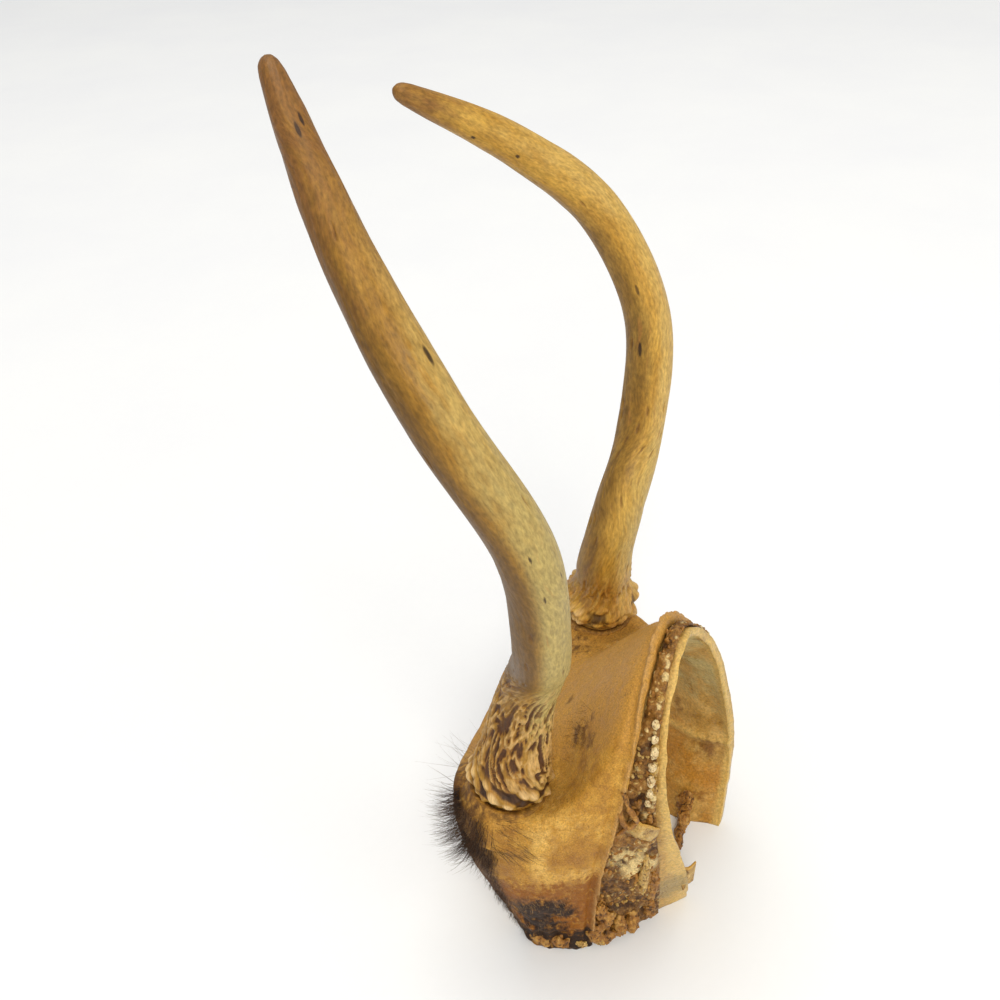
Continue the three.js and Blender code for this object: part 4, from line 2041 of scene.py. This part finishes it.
@dataclass(frozen=True)
class Coat:
    """Hair grown on part of the skin.

    Attributes:
        name: The piece's name.
        finish: Hair finish.
        span_u, span_s: Part of the head's surface it grows on.
        count: Roughly how many hairs.
        length: Hair length in mm.
        radius: Hair radius at the root in mm.
        lay: Direction the hairs lean in, added to the skin's normal.
        spread: How much that varies.
        bend: Sideways bend as a part of the length.
        seed: Random seed.
    """

    name: str
    finish: Finish
    span_u: Pair
    span_s: Pair
    count: int
    length: float
    radius: float
    lay: Point
    spread: float
    bend: float
    seed: int


COATS = (
    Coat("fur_tuft", HAIR, (0.215, 0.315), (0.0, 0.14),
         1300, 9.5, 0.08, (-0.3, 0.45, -0.8), 0.6, 0.4, 3),
    Coat("fur_fall", HAIR, (0.205, 0.305), (0.03, 0.24),
         1700, 6.5, 0.07, (-0.3, -0.3, -1.5), 0.5, 0.3, 4),
    Coat("fur_border", HAIR, (0.02, 0.24), (0.0, 0.18),
         2300, 2.2, 0.05, (-0.1, -0.5, -1.7), 0.35, 0.2, 5),
    Coat("fur_wisps", HAIR, (0.22, 0.38), (0.0, 0.12),
         190, 12.5, 0.045, (-0.2, 0.9, 0.0), 0.75, 0.4, 12),
    Coat("wisps_under_coronet", HAIR, (0.22, 0.31), (0.22, 0.36),
         260, 7.0, 0.07, (0.2, -1.7, -0.6), 0.45, 0.35, 8),
    Coat("wisps_on_crown", HAIR, (0.37, 0.43), (0.38, 0.5),
         170, 3.6, 0.055, (-0.6, -0.4, 0.3), 0.6, 0.3, 14),
    Coat("wisps_behind", HAIR, (0.58, 0.64), (0.2, 0.34),
         130, 5.0, 0.055, (-0.4, -0.8, 0.2), 0.5, 0.3, 15),
    Coat("hide_stubble", PALE_HAIR, (0.02, 0.6), (0.1, 0.7),
         8000, 1.5, 0.03, (0.0, -0.6, -0.7), 0.5, 0.2, 9),
)  # fmt: skip


class HairGrower(Grower):
    """Grows coats of hair."""

    CELLS = 40
    ABOVE_HEAD = 0.35
    COLLAR_RADIUS = 13.3
    STEPS = 6
    SIDES = 3
    BELLY = 0.55
    POINT = 0.12
    ROLL = 1.3
    SHORTEST = 0.45

    def grow(self, coat: Coat) -> Piece:
        """Grows one coat.

        Args:
            coat: What to grow.

        Returns:
            The plain mesh object.
        """
        skin = self._skin(coat)
        values = {
            "Density": coat.count / sum(face.area for face in skin.data.polygons),
            "Length": coat.length * MM,
            "Radius": coat.radius * MM,
            "Spread": coat.spread,
            "Bend": coat.bend,
            "Lay": coat.lay,
            "Seed": coat.seed,
            "Material": coat.finish.build(),
        }
        return self.run(skin, values, coat.name)

    def _skin(self, coat: Coat) -> Piece:
        """Makes the mesh that a coat grows on, which goes over the collars.

        Args:
            coat: The coat.

        Returns:
            The mesh, with how thick the hair is as "grow".
        """
        u = np.linspace(*coat.span_u, self.CELLS)
        s = np.linspace(*coat.span_s, self.CELLS)
        grid, normals = self.head.patch(u, s)
        edge_u = ramp(u, coat.span_u[0], coat.span_u[0] + 0.15 * np.ptp(u))[:, None]
        edge_s = ramp(s, coat.span_s[1], coat.span_s[1] - 0.35 * np.ptp(s))[None, :]
        clumps = ramp(Noise.value(grid, 2.6, coat.seed), -0.5, 0.6)
        roots = grid + self.ABOVE_HEAD * normals
        for shape in BOTH_ANTLERS:
            height, spoke, away = shape.spokes(roots)
            covered = ramp(height, -15, -12) * ramp(height, 1, -1) * ramp(away, 6, 9)
            push = covered * np.maximum(self.COLLAR_RADIUS - away, 0)
            roots = roots + push * spoke / np.maximum(away, 1e-6)
        return MeshKit.sheet(coat.name + "_skin", roots, {"grow": edge_u * edge_s * clumps})

    def _tree(self) -> Tree:
        """Makes the tree: bent tapering hairs that lean along the lay.

        Returns:
            The tree.
        """
        floats = dict.fromkeys(("Length", "Radius", "Spread", "Bend"), "Float")
        grow = Growth("coat_of_hair", {**floats, "Lay": "Vector"})
        length = grow.given["Length"]
        middle = grow.add("ShaderNodeCombineXYZ", {"Z": grow.times(length, self.BELLY)})
        tip = {"X": grow.times(length, grow.given["Bend"]), "Z": length}
        inputs = {"Resolution": self.STEPS, "Start": (0, 0, 0), "Middle": middle.outputs[0]}
        inputs["End"] = grow.add("ShaderNodeCombineXYZ", tip).outputs[0]
        strand = grow.add("GeometryNodeCurveQuadraticBezier", inputs).outputs["Curve"]
        along = grow.add("GeometryNodeSplineParameter").outputs["Factor"]
        taper = grow.window(along, (0.0, 1.0), (1.0, self.POINT))
        thin = grow.add("GeometryNodeSetCurveRadius", {"Curve": strand, "Radius": taper})
        inputs = {"Resolution": self.SIDES, "Radius": grow.given["Radius"]}
        ring = grow.add("GeometryNodeCurvePrimitiveCircle", inputs).outputs["Curve"]
        inputs = {"Curve": thin.outputs["Curve"], "Profile Curve": ring, "Scale": taper}
        tube = grow.add("GeometryNodeCurveToMesh", {**inputs, "Fill Caps": True}).outputs["Mesh"]

        leaning = grow.vector("ADD", grow.points["Normal"], grow.given["Lay"])
        scattered = grow.random((-1.0, -1.0, -1.0), (1.0, 1.0, 1.0))
        swing = grow.vector("SCALE", scattered, grow.given["Spread"])
        heading = {"Vector": grow.vector("ADD", leaning, swing)}
        aim = grow.add("FunctionNodeAlignRotationToVector", heading, axis="Z").outputs[0]
        roll = {"Angle": grow.random(-self.ROLL, self.ROLL, seeded=False)}
        turn = grow.add("FunctionNodeAxisAngleToRotation", roll).outputs[0]
        inputs = {0: aim, 1: turn}
        both = grow.add("FunctionNodeRotateRotation", inputs, rotation_space="LOCAL").outputs[0]
        size = grow.random(self.SHORTEST, 1.0, seeded=False)
        return grow.end(grow.put(tube, both, size))


# ------------------------------------------------------------------------ stage
@dataclass(frozen=True)
class Lamp:
    """A soft round light.

    Attributes:
        name: Its name.
        place: Where it hangs, in metres.
        turn: Euler angles in degrees.
        size: Diameter in metres.
        power: In watts.
        colour: In linear light.
    """

    name: str
    place: Point
    turn: Point
    size: float
    power: float
    colour: Colour

    def build(self) -> None:
        """Hangs the light."""
        lamp = bpy.data.lights.new(self.name, "AREA")
        lamp.shape = "DISK"
        lamp.size = self.size
        lamp.energy = self.power
        lamp.color = self.colour
        put_in_scene(self.name, lamp, self.place, self.turn)


LAMPS = (
    Lamp("key", (-2.2, -1.0, 2.6), (-26, -37, 0), 1.7, 84.0, (1.0, 0.93, 0.8)),
    Lamp("fill", (-0.8, -3.0, 1.0), (70, 0, -14), 2.0, 18.0, (1.0, 0.93, 0.82)),
    Lamp("top", (0.5, 0.5, 3.0), (-9, 9, 0), 2.4, 36.0, (1.0, 0.96, 0.88)),
)


@dataclass(frozen=True)
class Stage:
    """The floor, the lights and the camera.

    Attributes:
        floor_size: Side of the floor in metres.
        floor_cells: Its cells along a side.
        sky: Colour of the surroundings.
        sky_strength: Their brightness.
        lens: The camera's focal length in mm.
        sensor: Its sensor's width in mm.
        eye: Where it stands, in metres.
        gaze: Its Euler angles in degrees.
    """

    floor_size: float = 6.0
    floor_cells: int = 40
    sky: Colour = (1.0, 0.98, 0.94)
    sky_strength: float = 0.5
    lens: float = 39.403
    sensor: float = 36.0
    eye: Point = (-0.23214, -0.06928, 0.31031)
    gaze: Point = (54.8583, 1.6404, -71.1619)

    def build(self) -> None:
        """Makes all of it."""
        count = self.floor_cells
        bpy.ops.mesh.primitive_grid_add(
            x_subdivisions=count, y_subdivisions=count, size=self.floor_size
        )
        floor = bpy.context.object
        floor.name = "floor"
        floor.data.materials.append(FLOOR.build())
        scene = bpy.context.scene
        scene.world = bpy.data.worlds.new("studio")
        scene.world.use_nodes = True
        backdrop = scene.world.node_tree.nodes["Background"]
        backdrop.inputs["Color"].default_value = (*self.sky, 1.0)
        backdrop.inputs["Strength"].default_value = self.sky_strength
        for lamp in LAMPS:
            lamp.build()
        scene.view_settings.view_transform = "Standard"
        camera = bpy.data.cameras.new("camera")
        camera.lens = self.lens
        camera.sensor_width = self.sensor
        camera.clip_start = 0.01
        scene.camera = put_in_scene("camera", camera, self.eye, self.gaze)


def main() -> None:
    """Builds the scene on the CAD frame."""
    logging.basicConfig(level=logging.INFO)
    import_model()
    head = Head()
    SkullPlate(head).build()
    Hide(head).build()
    DriedFlesh(head).build()
    for shape in BOTH_ANTLERS:
        Antler(shape).build()
    build_tissue()
    crumb_grower = CrumbGrower(head)
    for crumbs in CRUMBS:
        enlist(crumb_grower.grow(crumbs), Slot.FLESH, None)
    hair_grower = HairGrower(head)
    for coat in COATS:
        nodes = ("fur_tuft",) if coat.name == "fur_tuft" else ()
        slot = Slot.FUR if coat.finish is HAIR else Slot.HIDE
        enlist(hair_grower.grow(coat), slot, None, *nodes)
    Stage().build()


if __name__ == "__main__":
    main()
